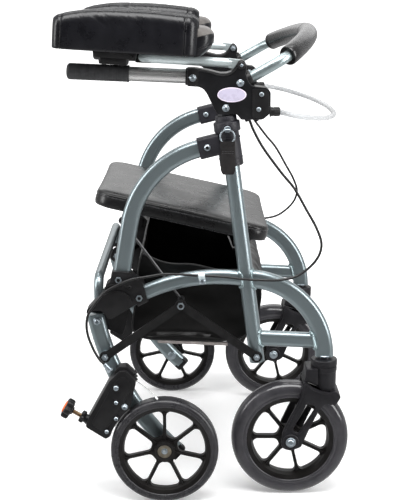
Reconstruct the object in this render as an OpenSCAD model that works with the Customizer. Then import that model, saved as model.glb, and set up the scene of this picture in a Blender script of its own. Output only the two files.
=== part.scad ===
// Forearm-support rollator walker: two welded side frames, folding rear legs,
// swivel front castors, lift-up seat with a bag under it, and a height-adjustable
// upper unit with handlebar, rear grips, forearm pads and a pull-loop brake.
// Stored with the rear legs swung forward and the seat lifted.
// Frame: +X forward, +Y to the user's left, +Z up, floor at Z = 0. Millimetres.

/* [Wheels] */
// Rear wheel diameter
rear_d = 200; // [196:1:202]
// Rear wheel width
rear_w = 33; // [30:1:34]
// Front wheel diameter
front_d = 220; // [216:1:222]
// Front wheel width
front_w = 42; // [38:1:44]
// Spokes in each wheel
spokes = 7; // [5:1:9]

/* [Frame] */
// Half distance between the two side frames
half = 268; // [262:1:272]
// In-plane height of the arched tubes
tube_h = 32; // [30:1:33]
// Thickness of the arched tubes across the frame
tube_t = 22; // [20:1:22]
// Outside diameter of the front posts
post_d = 28; // [27:1:29]

/* [Upper unit] */
// Diameter of the handlebar tube
bar_d = 20; // [19:1:22]
// Diameter of the foam grips
foam_d = 36; // [32:1:38]
// Diameter of the rear handle tubes
rear_bar_d = 25.4; // [24:0.2:25.6]
// Width of a forearm pad
pad_w = 104; // [96:1:108]

/* [Seat and bag] */
// Seat width
seat_w = 400; // [380:1:420]
// Seat cushion thickness
seat_t = 28; // [25:1:32]
// Bag width
bag_w = 470; // [450:1:474]
// Bag wall thickness
bag_wall = 3; // [2:0.5:4]

/* [Hidden] */
$fn = 64;

ox = 2.2;                          // brings the outline's middle to X = 0
ARW = [-77.5, rear_d/2];           // rear axle (X, Z)
AFW = [157, front_d/2];            // front axle
YRW = half + 40;                   // rear wheel plane
STEM = 219;                        // castor stem
lean = 7.6;                        // post leans back
P0 = [94.5, 258];                  // foot of the post
H = [-201, 338];                   // leg hinge
A = [-187, 273];                   // brace pivot on the leg
M = [-47, 371];                    // middle of the brace
F = [92.5, 272];                   // brace pivot on the post foot
LC = [276.3, 439.9];               // centre of the leg's curve
LR = 490;
Q = [68, 455];                     // seat hinge
SR = [-155, 520];                  // seat rod's upper eye
UA = [28.9, 490.2];                // upper arch centre
UR = 171;
RA = [21.5, 96.5];                     // rear half of the lower arch
RR = 323;
FA = [70.5, 268];                  // front half of the lower arch
FR = 148.5;
PV = [60.7, 805];                  // forearm support pivot
LP = [128, 722];                   // brake loop pivot
sage = [0.46, 0.55, 0.55];
black = [0.05, 0.05, 0.055];
zinc = [0.72, 0.74, 0.76];

module place() translate([ox, 0, 0]) children();
module right() translate([0, -half, 0]) children();
module left() mirror([0, 1, 0]) children();

// flat-sided tube section, h in the first direction, t in the second
module bar2d(h, t, r = 10) {
  square([h - 2*r, t], center = true);
  square([h, t - 2*r], center = true);
  for (i = [-1, 1], j = [-1, 1]) translate([i*(h/2 - r), j*(t/2 - r)]) circle(r);
}
// tube bent round a centre in the side plane
module arc_bar(c, R, a0, a1, h, t, r = 10)
  translate([c[0], 0, c[1]]) rotate([90, 0, 0]) rotate([0, 0, a0])
    rotate_extrude(angle = a1 - a0, $fn = 128) translate([R, 0]) bar2d(h, t, r);
// straight tube in the side plane
module line_bar(p, q, h, t, r = 10) {
  d = q - p;
  translate([p[0], 0, p[1]]) rotate([0, 90 - atan2(d[1], d[0]), 0]) linear_extrude(norm(d)) bar2d(h, t, r);
}
// round rod between two points
module rod(p, q, r) {
  d = q - p;
  translate(p) rotate([0, acos(d[2]/norm(d)), atan2(d[1], d[0])]) cylinder(r = r, h = norm(d));
}
// pin across the walker: from y0 to y1 at (X, Z)
module pin(p, y0, y1, r) translate([p[0], max(y0, y1), p[1]]) rotate([90, 0, 0]) cylinder(r = r, h = abs(y1 - y0));
// side-plane outline given depth from y0 to y1
module slab(y0, y1) translate([0, max(y0, y1), 0]) rotate([90, 0, 0]) linear_extrude(abs(y1 - y0)) children();
module disc(p, r) translate(p) circle(r);
// along the post, s from its foot
module on_post() translate([P0[0], 0, P0[1]]) rotate([0, -lean, 0]) children();
function post_x(z) = P0[0] - (z - P0[1])*tan(lean);
function post_s(z) = (z - P0[1])/cos(lean);
// flat link outline between two eyes
module link2d(p, q, w, e) {
  d = q - p;
  translate(p) rotate(atan2(d[1], d[0])) translate([0, -w/2]) square([norm(d), w]);
  disc(p, e); disc(q, e);
}

// ---------- side frames ----------
module upper_arch(g = 0) {
  arc_bar(UA, UR, 95, 170.3, tube_h + g, tube_t + g);
  s = UA + UR*[cos(170.3), sin(170.3)];
  line_bar(s + 2*[cos(80.3), sin(80.3)], s - 118*[cos(80.3), sin(80.3)], tube_h + g - 0.2, tube_t + g - 0.2);
}
module lower_arch(g = 0) {
  arc_bar(RA, RR, 81.3, 122, tube_h - 4 + g, tube_t - 0.4 + g);
}
module side_frame() difference() {
  union() {
    on_post() cylinder(d = post_d, h = post_s(700));
    upper_arch();
    lower_arch();
    arc_bar(FA, FR, 0, 92, tube_h + 2, tube_t);
    line_bar([86, 303.5], [212, 297.5], 29, tube_t - 0.8);
  }
  on_post() translate([0, 0, post_s(446)]) cylinder(r = 12.05, h = 300);
  translate([STEM, 0, 260]) cylinder(r = 6.1, h = 42);
}
module right_side_frame() color(sage) right() side_frame();
module left_side_frame() color(sage) left() right() side_frame();

// ---------- hinge castings at the rear of the side frames ----------
module hinge_casting() difference() {
  union() {
    slab(-19, 17) polygon([[-170, 434], [-141, 432], [-131, 421], [-116, 412], [-109, 383], [-138, 366],
      [-178, 341], [-192, 360], [-207, 360], [-221, 353], [-219, 361], [-204, 377], [-186, 398], [-184, 408], [-176, 414]]);
    slab(12, 17) { polygon([[-178, 356], [-139, 356], [-156, 301], [-176, 313]]); disc(H, 16); polygon([[-217, 338], [-201, 322], [-160, 345], [-170, 380], [-205, 362]]); }
  }
  upper_arch(0.2);
  lower_arch(0.2);
  pin(H, -12, 12, 21.5);
  pin(H, -20, 20, 5.1);
}
module right_hinge_casting() color(black) right() hinge_casting();
module left_hinge_casting() color(black) left() right() hinge_casting();

// ---------- collars that join post and upper arch and carry the height lock ----------
module post_collar() difference() {
  union() {
    on_post() {
      translate([0, 0, post_s(626)]) cylinder(r1 = 21, r2 = 19, h = post_s(715) - post_s(626));
      translate([0, 0, post_s(688)]) cylinder(r = 23.5, h = 17);
    }
    line_bar([-14, 655.6], [30, 666.6], tube_h + 6, tube_t + 6, 5);
    pin([post_x(694), 694], -25, 0, 8);
  }
  upper_arch(0.2);
  on_post() { translate([0, 0, post_s(600)]) cylinder(r = post_d/2 + 0.1, h = post_s(700.3) - post_s(600)); cylinder(r = 12.08, h = 600); }
  pin([post_x(694), 694], -30, -15, 4.08);
}
module right_post_collar() color([0.12, 0.12, 0.15]) right() post_collar();
module left_post_collar() color([0.12, 0.12, 0.15]) left() right() post_collar();

// pull pin with ring and webbing tab
module height_lock() {
  x = post_x(694);
  pin([x, 694], -29, -15.5, 4.03);
  pin([x, 694], -31.5, -29, 6);
  translate([x, -31.5, 681]) rotate([90, 0, 0]) rotate_extrude() translate([12.8, 0]) circle(1.3);
  slab(-32.6, -30.3) { translate([x - 13, 622]) square([26, 46]); translate([x - 9, 613]) square([18, 55]); }
}
module right_height_lock() color(zinc) right() height_lock();
module left_height_lock() color(zinc) left() right() height_lock();

// ---------- cross members ----------
module front_cross_tube() color(black)
  difference() {
    pin(Q, -half, half, 11);
    for (s = [-1, 1]) translate([0, s*half, 0]) on_post() cylinder(d = post_d, h = 400);
  }
module rear_cross_bar() color(sage) {
  x = -200; z0 = 372; z1 = 412; y = half - 21; r = 9; R = 24;
  for (s = [-1, 1]) {
    translate([x, s*y, z0]) cylinder(r = r, h = z1 - R - z0);
    translate([x, s*(y - R), z1 - R]) rotate([90, 0, 90]) rotate([0, 0, s > 0 ? 0 : 90]) rotate_extrude(angle = 90) translate([R, 0]) circle(r);
  }
  translate([x, y - R, z1]) rotate([90, 0, 0]) cylinder(r = r, h = 2*(y - R));
}

// ---------- bag ----------
module bag() color(black) difference() {
  slab(-bag_w/2, bag_w/2) polygon([[-135, 300], [-112, 290], [50, 286], [72, 292], [96, 330], [104, 375], [92, 420], [60, 444], [-120, 458], [-129, 400], [-139, 318]]);
  slab(-bag_w/2 + bag_wall, bag_w/2 - bag_wall) polygon([[-132, 303], [-110, 294], [48, 290], [69, 296], [92, 331], [100, 375], [88, 418], [60, 470], [-116, 470], [-125, 400], [-135, 318]]);
}

// ---------- fasteners on the frame ----------
module frame_bolts() {
  for (p = [[-160.5, 418], [-123, 384]]) pin(p, -23, -19, 6);
  pin([-140.6, 404], -21, -19, 4);
  pin(H, -22, 17, 5.05); pin(H, -25.5, -22, 9);
  pin(F, -22.6, -post_d/2 + 1, 4); pin(F, -27, -22.6, 7.5);
  pin([1, 659.4], -18, -14, 6);
  translate([-8, 0, 0]) { slab(-15, -11) translate([0, 419]) square([11, 20], center = true); pin([0, 414.6], -18, -15, 5); }
}
module frame_fasteners() color(zinc) difference() {
  union() { right() frame_bolts(); left() right() frame_bolts(); }
  for (s = [-1, 1]) translate([0, s*half, 0]) on_post() cylinder(d = post_d, h = 100);
}

// ---------- brake cables: rounded sweep through hand-picked points ----------
CU = [[76, -268, 708], [84, -268, 688], [102, -269, 656], [134, -271, 613], [158, -273, 584], [180, -276, 546], [199, -279, 512], [208, -283, 482],
      [198, -286, 454], [169, -288, 428], [138, -289, 419], [108, -290, 418], [70, -290, 420], [31, -288, 424], [-12, -286.5, 426]];
CL = [[-46, -286.5, 428], [-76, -288, 429], [-107, -291, 425], [-138, -294, 420], [-162, -296, 410], [-181, -297, 400], [-196, -298, 385],
      [-208, -299, 369], [-216, -299, 355], [-219, -299, 336], [-216, -300, 314], [-206, -301, 288], [-196, -302, 271], [-190, -302, 264.6], [-185, -302, 259.2]];
CR = concat(CU, CL);
function cm(p, i, t) = let (n = len(p) - 1, a = p[max(i - 1, 0)], b = p[i], c = p[min(i + 1, n)], d = p[min(i + 2, n)])
  0.5*(2*b + (c - a)*t + (2*a - 5*b + 4*c - d)*t*t + (3*b - a - 3*c + d)*t*t*t);
function route(p, k) = concat([for (i = [0 : len(p) - 2], j = [0 : k - 1]) cm(p, i, j/k)], [p[len(p) - 1]]);
function unit(v) = v/norm(v);
function tang(q, i) = unit(q[min(i + 1, len(q) - 1)] - q[max(i - 1, 0)]);
function ring(q, i, r, n) = let (t = tang(q, i), u = unit(cross(t, [0.1, 1, 0.05])), v = cross(t, u))
  [for (k = [0 : n - 1]) q[i] + r*(cos(360*k/n)*u + sin(360*k/n)*v)];
module sweep(q, r, n) {
  m = len(q);
  pts = [for (i = [0 : m - 1]) each ring(q, i, r, n)];
  polyhedron(points = pts, faces = concat(
    [[for (k = [0 : n - 1]) k]], [[for (k = [n - 1 : -1 : 0]) (m - 1)*n + k]],
    [for (i = [0 : m - 2], k = [0 : n - 1]) [i*n + k, (i + 1)*n + k, (i + 1)*n + (k + 1)%n]],
    [for (i = [0 : m - 2], k = [0 : n - 1]) [i*n + k, (i + 1)*n + (k + 1)%n, i*n + (k + 1)%n]]));
}
module cable() sweep(route(CR, 2), 2.4, 8);
module right_brake_cable() color(black) cable();
module left_brake_cable() color(black) left() cable();

// ---------- upper unit ----------
module inner_post() on_post() translate([0, 0, post_s(452)]) cylinder(r = 12, h = post_s(748) - post_s(452));
module inner_posts() color([0.3, 0.3, 0.32]) { right() inner_post(); left() right() inner_post(); }

BA = 29.3;                          // handlebar plane
B0 = [58.8, 771.5];                 // handlebar root
module in_bar() translate([B0[0], 0, B0[1]]) rotate([0, -BA, 0]) children();
RT = 2.5;                           // rear handle rises to the rear
R0 = [-36, 784.5];
module rear_bar(x0, x1, r) translate([R0[0], 0, R0[1]]) rotate([0, RT, 0]) translate([x1 - R0[0], 0, 0]) rotate([0, 90, 0]) cylinder(r = r, h = x0 - x1);
module bracket() difference() {
  slab(-19, 19) {
    polygon([[-34.5, 800], [-34.5, 768.5], [-12, 767], [-2, 758.5], [18, 719], [53, 719], [61, 709.5], [99, 709.5], [112.5, 723], [112.5, 759],
      [104, 766], [79, 769], [72, 778], [67, 798], [70, 805], [51, 805], [42, 793.5], [26, 790.5], [2, 796.5], [-22, 800]]);
    disc(PV, 9.5);
  }
  on_post() cylinder(r = 12.1, h = post_s(748.2));
  in_bar() rotate([0, 90, 0]) cylinder(r = bar_d/2 + 0.1, h = 200);
  rear_bar(-4.9, -60, rear_bar_d/2 + 0.1);
  slab(-8, 8) { disc(PV, 12); translate([30, 793.5]) square([31, 40]); }
  pin(PV, -30, 30, 4.1);
}
module right_bracket() color(black) right() bracket();
module left_bracket() color(black) left() right() bracket();

HS = 63.5; HC = 48; HF = 65;        // handlebar: straight reach, corner radius, turn at the corner
HB = (half - HC*(1 - cos(HF)))/cos(HF);   // radius of the bowed front
HX = HS + (HC - HB)*sin(HF);              // its centre
HM = 44;                            // turn at which the foam starts
module bar_path(r) {
  for (s = [-1, 1]) {
    translate([0.2, s*half, 0]) rotate([0, 90, 0]) cylinder(r = r, h = HS - 0.2);
    translate([HS, s*(half - HC), 0]) rotate([0, 0, s > 0 ? 89 - HF : -91]) rotate_extrude(angle = HF + 2) translate([HC, 0]) circle(r - 0.1);
  }
  translate([HX, 0, 0]) rotate([0, 0, HF - 90]) rotate_extrude(angle = 180 - 2*HF, $fn = 128) translate([HB, 0]) circle(r);
}
module foam_ring(g = 0) difference() { circle(foam_d/2 - g); circle(bar_d/2 + 0.05 + g); }
module foam_path() for (s = [-1, 1]) {
  translate([HS, s*(half - HC), 0]) rotate([0, 0, s > 0 ? 89 - HF : HM - 90]) rotate_extrude(angle = HF - HM + 1) translate([HC, 0]) foam_ring(0.1);
  translate([HX, 0, 0]) rotate([0, 0, s > 0 ? 0.25 : HF - 90]) rotate_extrude(angle = 89.75 - HF, $fn = 128) translate([HB, 0]) foam_ring();
}
module handlebar() color([0.6, 0.66, 0.66]) in_bar() bar_path(bar_d/2);
module foam_grips() color([0.13, 0.12, 0.12]) in_bar() foam_path();
module rear_handle_tubes() color([0.75, 0.76, 0.77]) for (s = [-1, 1]) translate([0, s*half, 0]) rear_bar(-5, -240, rear_bar_d/2);
module rear_grips() color(black) for (s = [-1, 1]) translate([0, s*half, 0]) difference() {
  union() { rear_bar(-137, -243, 14.6); translate([R0[0], 0, R0[1]]) rotate([0, RT, 0]) translate([-243 - R0[0], 0, 0]) rotate([0, -90, 0]) cylinder(r1 = 14.6, r2 = 11.5, h = 5); }
  rear_bar(-130, -240.2, rear_bar_d/2 + 0.1);
}
module upper_bolts() {
  for (p = [[-24.8, 783], [58.8, 774], [33.4, 730], [96.4, 754.4], [91.6, 728]]) pin(p, -22.5, -19, 5.5);
  pin(PV, -19, 19, 4); pin(PV, -23, -19, 7); pin(PV, 19, 23, 6.5);
}
module bracket_bolts() color(zinc) { right() upper_bolts(); left() right() upper_bolts(); }
module loop_ferrules() color(black) for (s = [-1, 1]) translate([112.5, s*half, LP[1]]) rotate([0, 90, 0]) difference() {
  cylinder(r = 8, h = 18.5);
  translate([0, 0, 6]) cylinder(r = 6.2, h = 20);
}
BL = [[0, -268, 0], [5, -268.6, 0], [13, -275, 0], [25, -281, 0], [41, -278, 0], [60, -261, 0], [81, -229, 0], [101, -180, 0], [117, -112, 0], [124, -45, 0]];
BW = concat(BL, [for (k = [len(BL) - 1 : -1 : 0]) [BL[k][0], -BL[k][1], 0]]);
module brake_loop() color([0.85, 0.88, 0.9, 0.6]) translate([LP[0], 0, LP[1]]) rotate([0, 11.3, 0]) sweep(route(BW, 3), 3.6, 10);

// ---------- forearm supports ----------
AT = 8.4;
AZ = 806.3;                         // tube height before the arm is tipped
AA = 3.5;                           // arm rises to the rear
module on_arm() translate([PV[0], 0, PV[1]]) rotate([0, AA, 0]) translate([-PV[0], 0, -PV[1]]) children();
module arm_bend(r) translate([-92, 24, AZ]) rotate([0, 0, 180]) rotate_extrude(angle = 90) translate([24, 0]) circle(r);
module arm_tube() on_arm() difference() {
  union() {
    rod([44, 0, AZ], [-94, 0, AZ], AT - 0.15);
    arm_bend(AT);
    translate([-116, 22, AZ]) rotate([-90, 0, 0]) cylinder(r = AT - 0.15, h = 14);
    slab(-7, 7) { disc(PV, 8.5); polygon([[60.7, 796.5], [60.7, 813.5], [38, 814.4], [38, 798.2]]); }
  }
  pin(PV, -20, 20, 4.06);
}
module right_arm_tube() color([0.6, 0.66, 0.66]) right() arm_tube();
module left_arm_tube() color([0.6, 0.66, 0.66]) left() right() arm_tube();
module pad_clamp() on_arm() difference() {
  union() {
    slab(-20, 20) polygon([[-192, 814], [-187, 792.2], [-140, 792.2], [-136, 814]]);
    translate([-200, -31, 811]) cube([76, 64, 4]);
    translate([-127, 12, 796]) cube([28, 22, 19]);
    translate([-163, 0, 812]) cylinder(r = 6, h = 20);
  }
  rod([0, 0, AZ], [-92, 0, AZ], AT + 0.1);
  arm_bend(AT + 0.1);
  translate([-116, 22, AZ]) rotate([-90, 0, 0]) cylinder(r = AT - 0.05, h = 20);
}
module right_pad_clamp() color(black) right() pad_clamp();
module left_pad_clamp() color(black) left() right() pad_clamp();
module forearm_pad() on_arm() {
  w = pad_w/2;
  difference() {
    translate([-270, 0, 0]) rotate([90, 0, 90]) linear_extrude(252) difference() {
      union() { translate([-w, 827.3]) square([2*w, 44.7]); translate([-w + 12, 815.3]) square([2*w - 24, 68.7]);
        for (s = [-1, 1]) { translate([s*(w - 12), 827.3]) circle(12); translate([s*(w - 12), 872]) circle(12); } }
      translate([-w + 25, 848]) square([2*w - 50, 60]);
    }
    translate([-163, 0, 810]) cylinder(r = 6.06, h = 23);
  }
  slab(-w + 14, w - 14) polygon([[-18.5, 815.3], [-6, 818], [4, 827], [8, 836], [8, 850], [3, 861], [-8, 868], [-18.5, 869]]);
}
module right_forearm_pad() color(black) right() forearm_pad();
module left_forearm_pad() color(black) left() right() forearm_pad();

// ---------- rear legs ----------
module rear_leg() difference() {
  arc_bar(LC, LR, 190.6, 227.2, tube_h, tube_t);
  pin(H, -20, 20, 5.12);
  pin(ARW, -20, 20, 6.1);
  pin(A, -20, 20, 4.1);
}
module right_rear_leg() color(sage) right() rear_leg();
module left_rear_leg() color(sage) left() right() rear_leg();

KD = [cos(-30.6), sin(-30.6)];      // brake screw direction
K0 = [-255, 177];                   // brake knob centre
SP = [-150, 187];                   // brake shoe pivot
module shoe2d(g = 0) {
  intersection() {
    difference() { disc(ARW, 109 + g); disc(ARW, rear_d/2 + 2.3 - g); }
    polygon([ARW, ARW + 160*[cos(129 - g), sin(129 - g)], ARW + 160*[cos(153 + g), sin(153 + g)]]);
  }
  disc(SP, 6 + g);
}
module brake_housing() {
  difference() {
    slab(-54, -11.05) polygon([[-159, 255], [-147, 256], [-131, 240], [-130, 228], [-134, 212], [-141, 177], [-169, 134], [-186, 124], [-223, 148], [-219, 160], [-178, 235]]);
    pin(ARW, -60, 0, rear_d/2 + 3.8);
    slab(-50, -29) shoe2d(1);
    pin(SP, -60, -20, 3.55);
    translate([K0[0], -36, K0[1]]) rotate([0, 90 + 30.6, 0]) cylinder(r = 4.1, h = 72);
    translate([-182, -34, 256]) rotate([0, 137, 0]) cylinder(r = 4.6, h = 20);
  }
  translate([K0[0], -36, K0[1]]) rotate([0, 90 + 30.6, 0]) translate([0, 0, 26]) difference() { cylinder(r = 12, h = 8, $fn = 8); translate([0, 0, -1]) cylinder(r = 4.1, h = 20, $fn = 64); }
}
module right_brake_housing() color(black) right() brake_housing();
module left_brake_housing() color(black) left() right() brake_housing();
module leg_hardware() {
  pin(ARW, -55, -11, 6); pin(ARW, -57.2, -55, 8.5); pin(ARW, -15, -11.1, 10);
  pin(ARW, -11, 11, 6); pin(ARW, 11, 17, 9);
  pin(A, -26, 11, 4); pin(A, -20.6, -11.1, 8); pin(A, -30, -26, 7.5);
  for (p = [[-166, 220], [-166.5, 193], [-167, 161.6], [-184.4, 136.4]]) pin(p, -57, -54, 5);
  pin(SP, -54, -25, 3.5); pin(SP, -57, -54, 5);
  translate([-182, -34, 256]) rotate([0, 137, 0]) translate([0, 0, -8]) difference() { cylinder(r = 4.5, h = 24); translate([0, 0, -1]) cylinder(r = 2.6, h = 9); }
  arc_bar(LC, LR, 227.25, 228.3, tube_h - 1, tube_t - 1, 6);
}
module right_leg_hardware() color(zinc) right() leg_hardware();
module left_leg_hardware() color(zinc) left() right() leg_hardware();
module brake_shoe() difference() { slab(-49.5, -29.5) shoe2d(); pin(SP, -60, 0, 3.56); }
module right_brake_shoe() color([0.5, 0.5, 0.5]) right() brake_shoe();
module left_brake_shoe() color([0.5, 0.5, 0.5]) left() right() brake_shoe();
module brake_knob() translate([K0[0], -36, K0[1]]) rotate([0, 90 + 30.6, 0]) {
  difference() {
    translate([0, 0, -8]) cylinder(r = 19.5, h = 14);
    for (i = [0 : 5]) rotate(60*i) translate([24, 0, -9]) cylinder(r = 7.5, h = 20);
  }
  translate([0, 0, -9.5]) cylinder(r = 10, h = 1.6);
  translate([0, 0, 6]) cylinder(r = 4.02, h = 56);
}
module right_brake_knob() color([0.75, 0.35, 0.1]) right() brake_knob();
module left_brake_knob() color([0.75, 0.35, 0.1]) left() right() brake_knob();

// ---------- wheels ----------
// window with rounded corners between two spokes
function corner(c, r, a0, a1) = [for (k = [0 : 6]) c + r*[cos(a0 + (a1 - a0)*k/6), sin(a0 + (a1 - a0)*k/6)]];
function window(ri, ro, gap, rc) = let (
  w = 180/spokes,
  ao = w - asin((gap/2 + rc)/(ro - rc)), ai = w - asin((gap/2 + rc)/(ri + rc)),
  o1 = (ro - rc)*[cos(ao), sin(ao)], i1 = (ri + rc)*[cos(ai), sin(ai)])
  concat([for (k = [-4 : 4]) ro*[cos(ao*k/4), sin(ao*k/4)]],
    corner(o1, rc, ao, w + 90), corner(i1, rc, w + 90, 180 + ai),
    [for (k = [4 : -1 : -4]) ri*[cos(ai*k/4), sin(ai*k/4)]],
    [for (p = corner(i1, rc, 180 + ai, w + 90)) [p[0], -p[1]]], [for (p = corner(o1, rc, w + 90, ao)) [p[0], -p[1]]]);
module rim(rt, w, hub_r, hub_w, web, ri, ro, bore, turn) rotate([90, 0, 0]) rotate([0, 0, turn]) difference() {
  union() {
    rotate_extrude($fn = 128) polygon([[ro - 1, -web/2], [ro + 2, -w/2 + 5], [rt, -w/2 + 3], [rt, w/2 - 3], [ro + 2, w/2 - 5], [ro - 1, web/2]]);
    translate([0, 0, -web/2]) difference() { cylinder(r = ro, h = web); for (i = [0 : spokes - 1]) rotate(360/spokes*(i + 0.5)) translate([0, 0, -1]) linear_extrude(web + 2) polygon(window(ri, ro - 0.5, 6, 9)); }
    translate([0, 0, -hub_w/2]) cylinder(r = hub_r, h = hub_w);
    for (i = [0 : spokes - 1]) rotate(360/spokes*i) translate([hub_r - 2, -1.6, -web/2 - 2.5]) cube([ro - hub_r + 3, 3.2, web + 5]);
  }
  translate([0, 0, -100]) cylinder(r = bore, h = 200);
}
module tyre(R, rt, w) rotate([90, 0, 0]) rotate_extrude($fn = 128) difference() {
  union() {
    c = 9;
    translate([rt, -w/2 + c]) square([R - rt, w - 2*c]);
    translate([rt, -w/2]) square([R - rt - c, w]);
    for (s = [-1, 1]) translate([R - c, s*(w/2 - c)]) circle(c);
  }
  translate([0, -w]) square([rt, 2*w]);
}
module rear_rim() difference() { rim(85, rear_w, 19, 34, 10, 25, 76, 6.05, 90); for (s = [-1, 1]) translate([0, s*17.5 , 0]) rotate([90, 0, 0]) cylinder(r = 13, h = 16, center = true); }
module right_rear_rim() color(black) translate([ARW[0], -YRW, ARW[1]]) rear_rim();
module left_rear_rim() color(black) translate([ARW[0], YRW, ARW[1]]) rear_rim();
module rear_tyre() tyre(rear_d/2, 85.05, rear_w);
module right_rear_tyre() color([0.16, 0.16, 0.17]) translate([ARW[0], -YRW, ARW[1]]) rear_tyre();
module left_rear_tyre() color([0.16, 0.16, 0.17]) translate([ARW[0], YRW, ARW[1]]) rear_tyre();
module bearings() for (s = [-1, 1]) translate([0, s*12.1, 0]) rotate([90, 0, 0]) difference() { cylinder(r = 12.95, h = 5, center = true); cylinder(r = 6.05, h = 20, center = true); }
module right_rear_bearings() color([0.6, 0.55, 0.42]) translate([ARW[0], -YRW, ARW[1]]) bearings();
module left_rear_bearings() color([0.6, 0.55, 0.42]) translate([ARW[0], YRW, ARW[1]]) bearings();
module front_rim() rim(81, front_w, 17, 47, 12, 24, 71, 4.06, 180);
module right_front_rim() color(black) translate([AFW[0], -half, AFW[1]]) front_rim();
module left_front_rim() color(black) translate([AFW[0], half, AFW[1]]) front_rim();
module front_tyre() tyre(front_d/2, 81.05, front_w);
module right_front_tyre() color([0.1, 0.1, 0.12]) translate([AFW[0], -half, AFW[1]]) front_tyre();
module left_front_tyre() color([0.1, 0.1, 0.12]) translate([AFW[0], half, AFW[1]]) front_tyre();

// ---------- castors ----------
module caster_fork() {
  difference() {
    union() {
      slab(-33, 33) difference() {
        union() {
          polygon([[176, 190], [178, 224], [187, 249], [240, 249], [243, 208], [251, 204], [251, 194], [234, 186], [186, 114], AFW, [141, 116]]);
          disc(AFW, 17);
        }
        polygon([[197, 183], [208, 177], [176, 128], [167, 134]]);
      }
      translate([STEM, 0, 196]) cylinder(r = 22, h = 55);
      translate([STEM, 0, 251]) cylinder(r = 24.5, h = 11);
      translate([STEM, 0, 262]) cylinder(r = 11, h = 5.6);
      translate([STEM, 0, 262]) cylinder(r = 6.05, h = 38);
    }
    pin(AFW, -24.5, 24.5, front_d/2 + 4);
    for (s = [-1, 1]) translate([STEM, s*33.01, 240]) cube([60, 0.02, 20], center = true);
    pin(AFW, -40, 40, 4.1);
  }
  pin(AFW, -36, 36, 4); pin(AFW, -39, -33.05, 8.5); pin(AFW, 33.05, 39, 8.5);
}
module right_caster_fork() color(black) right() caster_fork();
module left_caster_fork() color(black) left() right() caster_fork();

// ---------- brace links ----------
module rear_link() { difference() { slab(-25.5, -21.5) link2d(A, M, 15, 10.5); pin(A, -40, 0, 4.06); } pin(M, -29.5, -25.5, 7); }
module right_rear_link() color(black) right() rear_link();
module left_rear_link() color(black) left() right() rear_link();
module front_link() { difference() { slab(-20.5, -16.5) link2d(F, M, 15, 10.5); pin(F, -40, 0, 4.06); } pin(M, -16.5, 19.4, 4); }
module right_front_link() color(black) right() front_link();
module left_front_link() color(black) left() right() front_link();

// ---------- seat ----------
SA = 12.7;                          // seat slope at rest
module in_seat() translate([Q[0], 0, Q[1]]) rotate([0, SA, 0]) children();
module seat_cushion() color(black) in_seat() {
  r = 11; x0 = -293; x1 = 43; z0 = 21;
  rotate([90, 0, 0]) translate([0, 0, -seat_w/2]) linear_extrude(seat_w) {
    translate([x0 + r, z0]) square([x1 - x0 - 2*r, seat_t]);
    translate([x0, z0 + r]) square([x1 - x0, seat_t - 2*r]);
    for (x = [x0 + r, x1 - r], z = [z0 + r, z0 + seat_t - r]) translate([x, z]) circle(r);
  }
}
module seat_board() color([0.1, 0.1, 0.1]) {
  in_seat() difference() {
    union() {
      translate([-262, -seat_w/2 + 46, 13]) cube([276, seat_w - 92, 7.9]);
      for (s = [-1, 1]) translate([-15, s*140 - 12, -15]) cube([30, 24, 29]);
    }
    translate([0, 300, 0]) rotate([90, 0, 0]) cylinder(r = 11.08, h = 600);
  }
  for (s = [-1, 1]) pin(SR, s*(half - 19.5), s*(seat_w/2 - 62), 3.5);
}
module seat_rods() color(zinc) for (s = [-1, 1]) translate([0, s*(half - 23), 0]) difference() {
  union() { rod([SR[0], 0, SR[1]], [M[0], 0, M[1]], 2.5); pin(SR, -3, 3, 6.5); pin(M, -3, 3, 6.5); }
  pin(SR, -8, 8, 3.56);
}

place() right_side_frame();
place() left_side_frame();
place() right_hinge_casting();
place() left_hinge_casting();
place() right_post_collar();
place() left_post_collar();
place() front_cross_tube();
place() rear_cross_bar();
place() bag();
place() frame_fasteners();
place() right_brake_cable();
place() left_brake_cable();
place() inner_posts();
place() right_bracket();
place() left_bracket();
place() handlebar();
place() foam_grips();
place() rear_handle_tubes();
place() rear_grips();
place() bracket_bolts();
place() loop_ferrules();
place() brake_loop();
place() right_arm_tube();
place() left_arm_tube();
place() right_pad_clamp();
place() left_pad_clamp();
place() right_forearm_pad();
place() left_forearm_pad();
place() right_height_lock();
place() left_height_lock();
place() right_rear_leg();
place() left_rear_leg();
place() right_brake_housing();
place() left_brake_housing();
place() right_leg_hardware();
place() left_leg_hardware();
place() right_rear_rim();
place() left_rear_rim();
place() right_rear_tyre();
place() left_rear_tyre();
place() right_rear_bearings();
place() left_rear_bearings();
place() right_rear_link();
place() left_rear_link();
place() right_front_link();
place() left_front_link();
place() right_brake_shoe();
place() left_brake_shoe();
place() right_brake_knob();
place() left_brake_knob();
place() right_caster_fork();
place() left_caster_fork();
place() right_front_rim();
place() left_front_rim();
place() right_front_tyre();
place() left_front_tyre();
place() seat_cushion();
place() seat_board();
place() seat_rods();
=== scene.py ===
"""Looks of a rollator walker with forearm supports, built around its CAD frame."""
import math
import random

import bmesh
import bpy
import numpy as np
from mathutils import Matrix, Vector, noise


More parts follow.
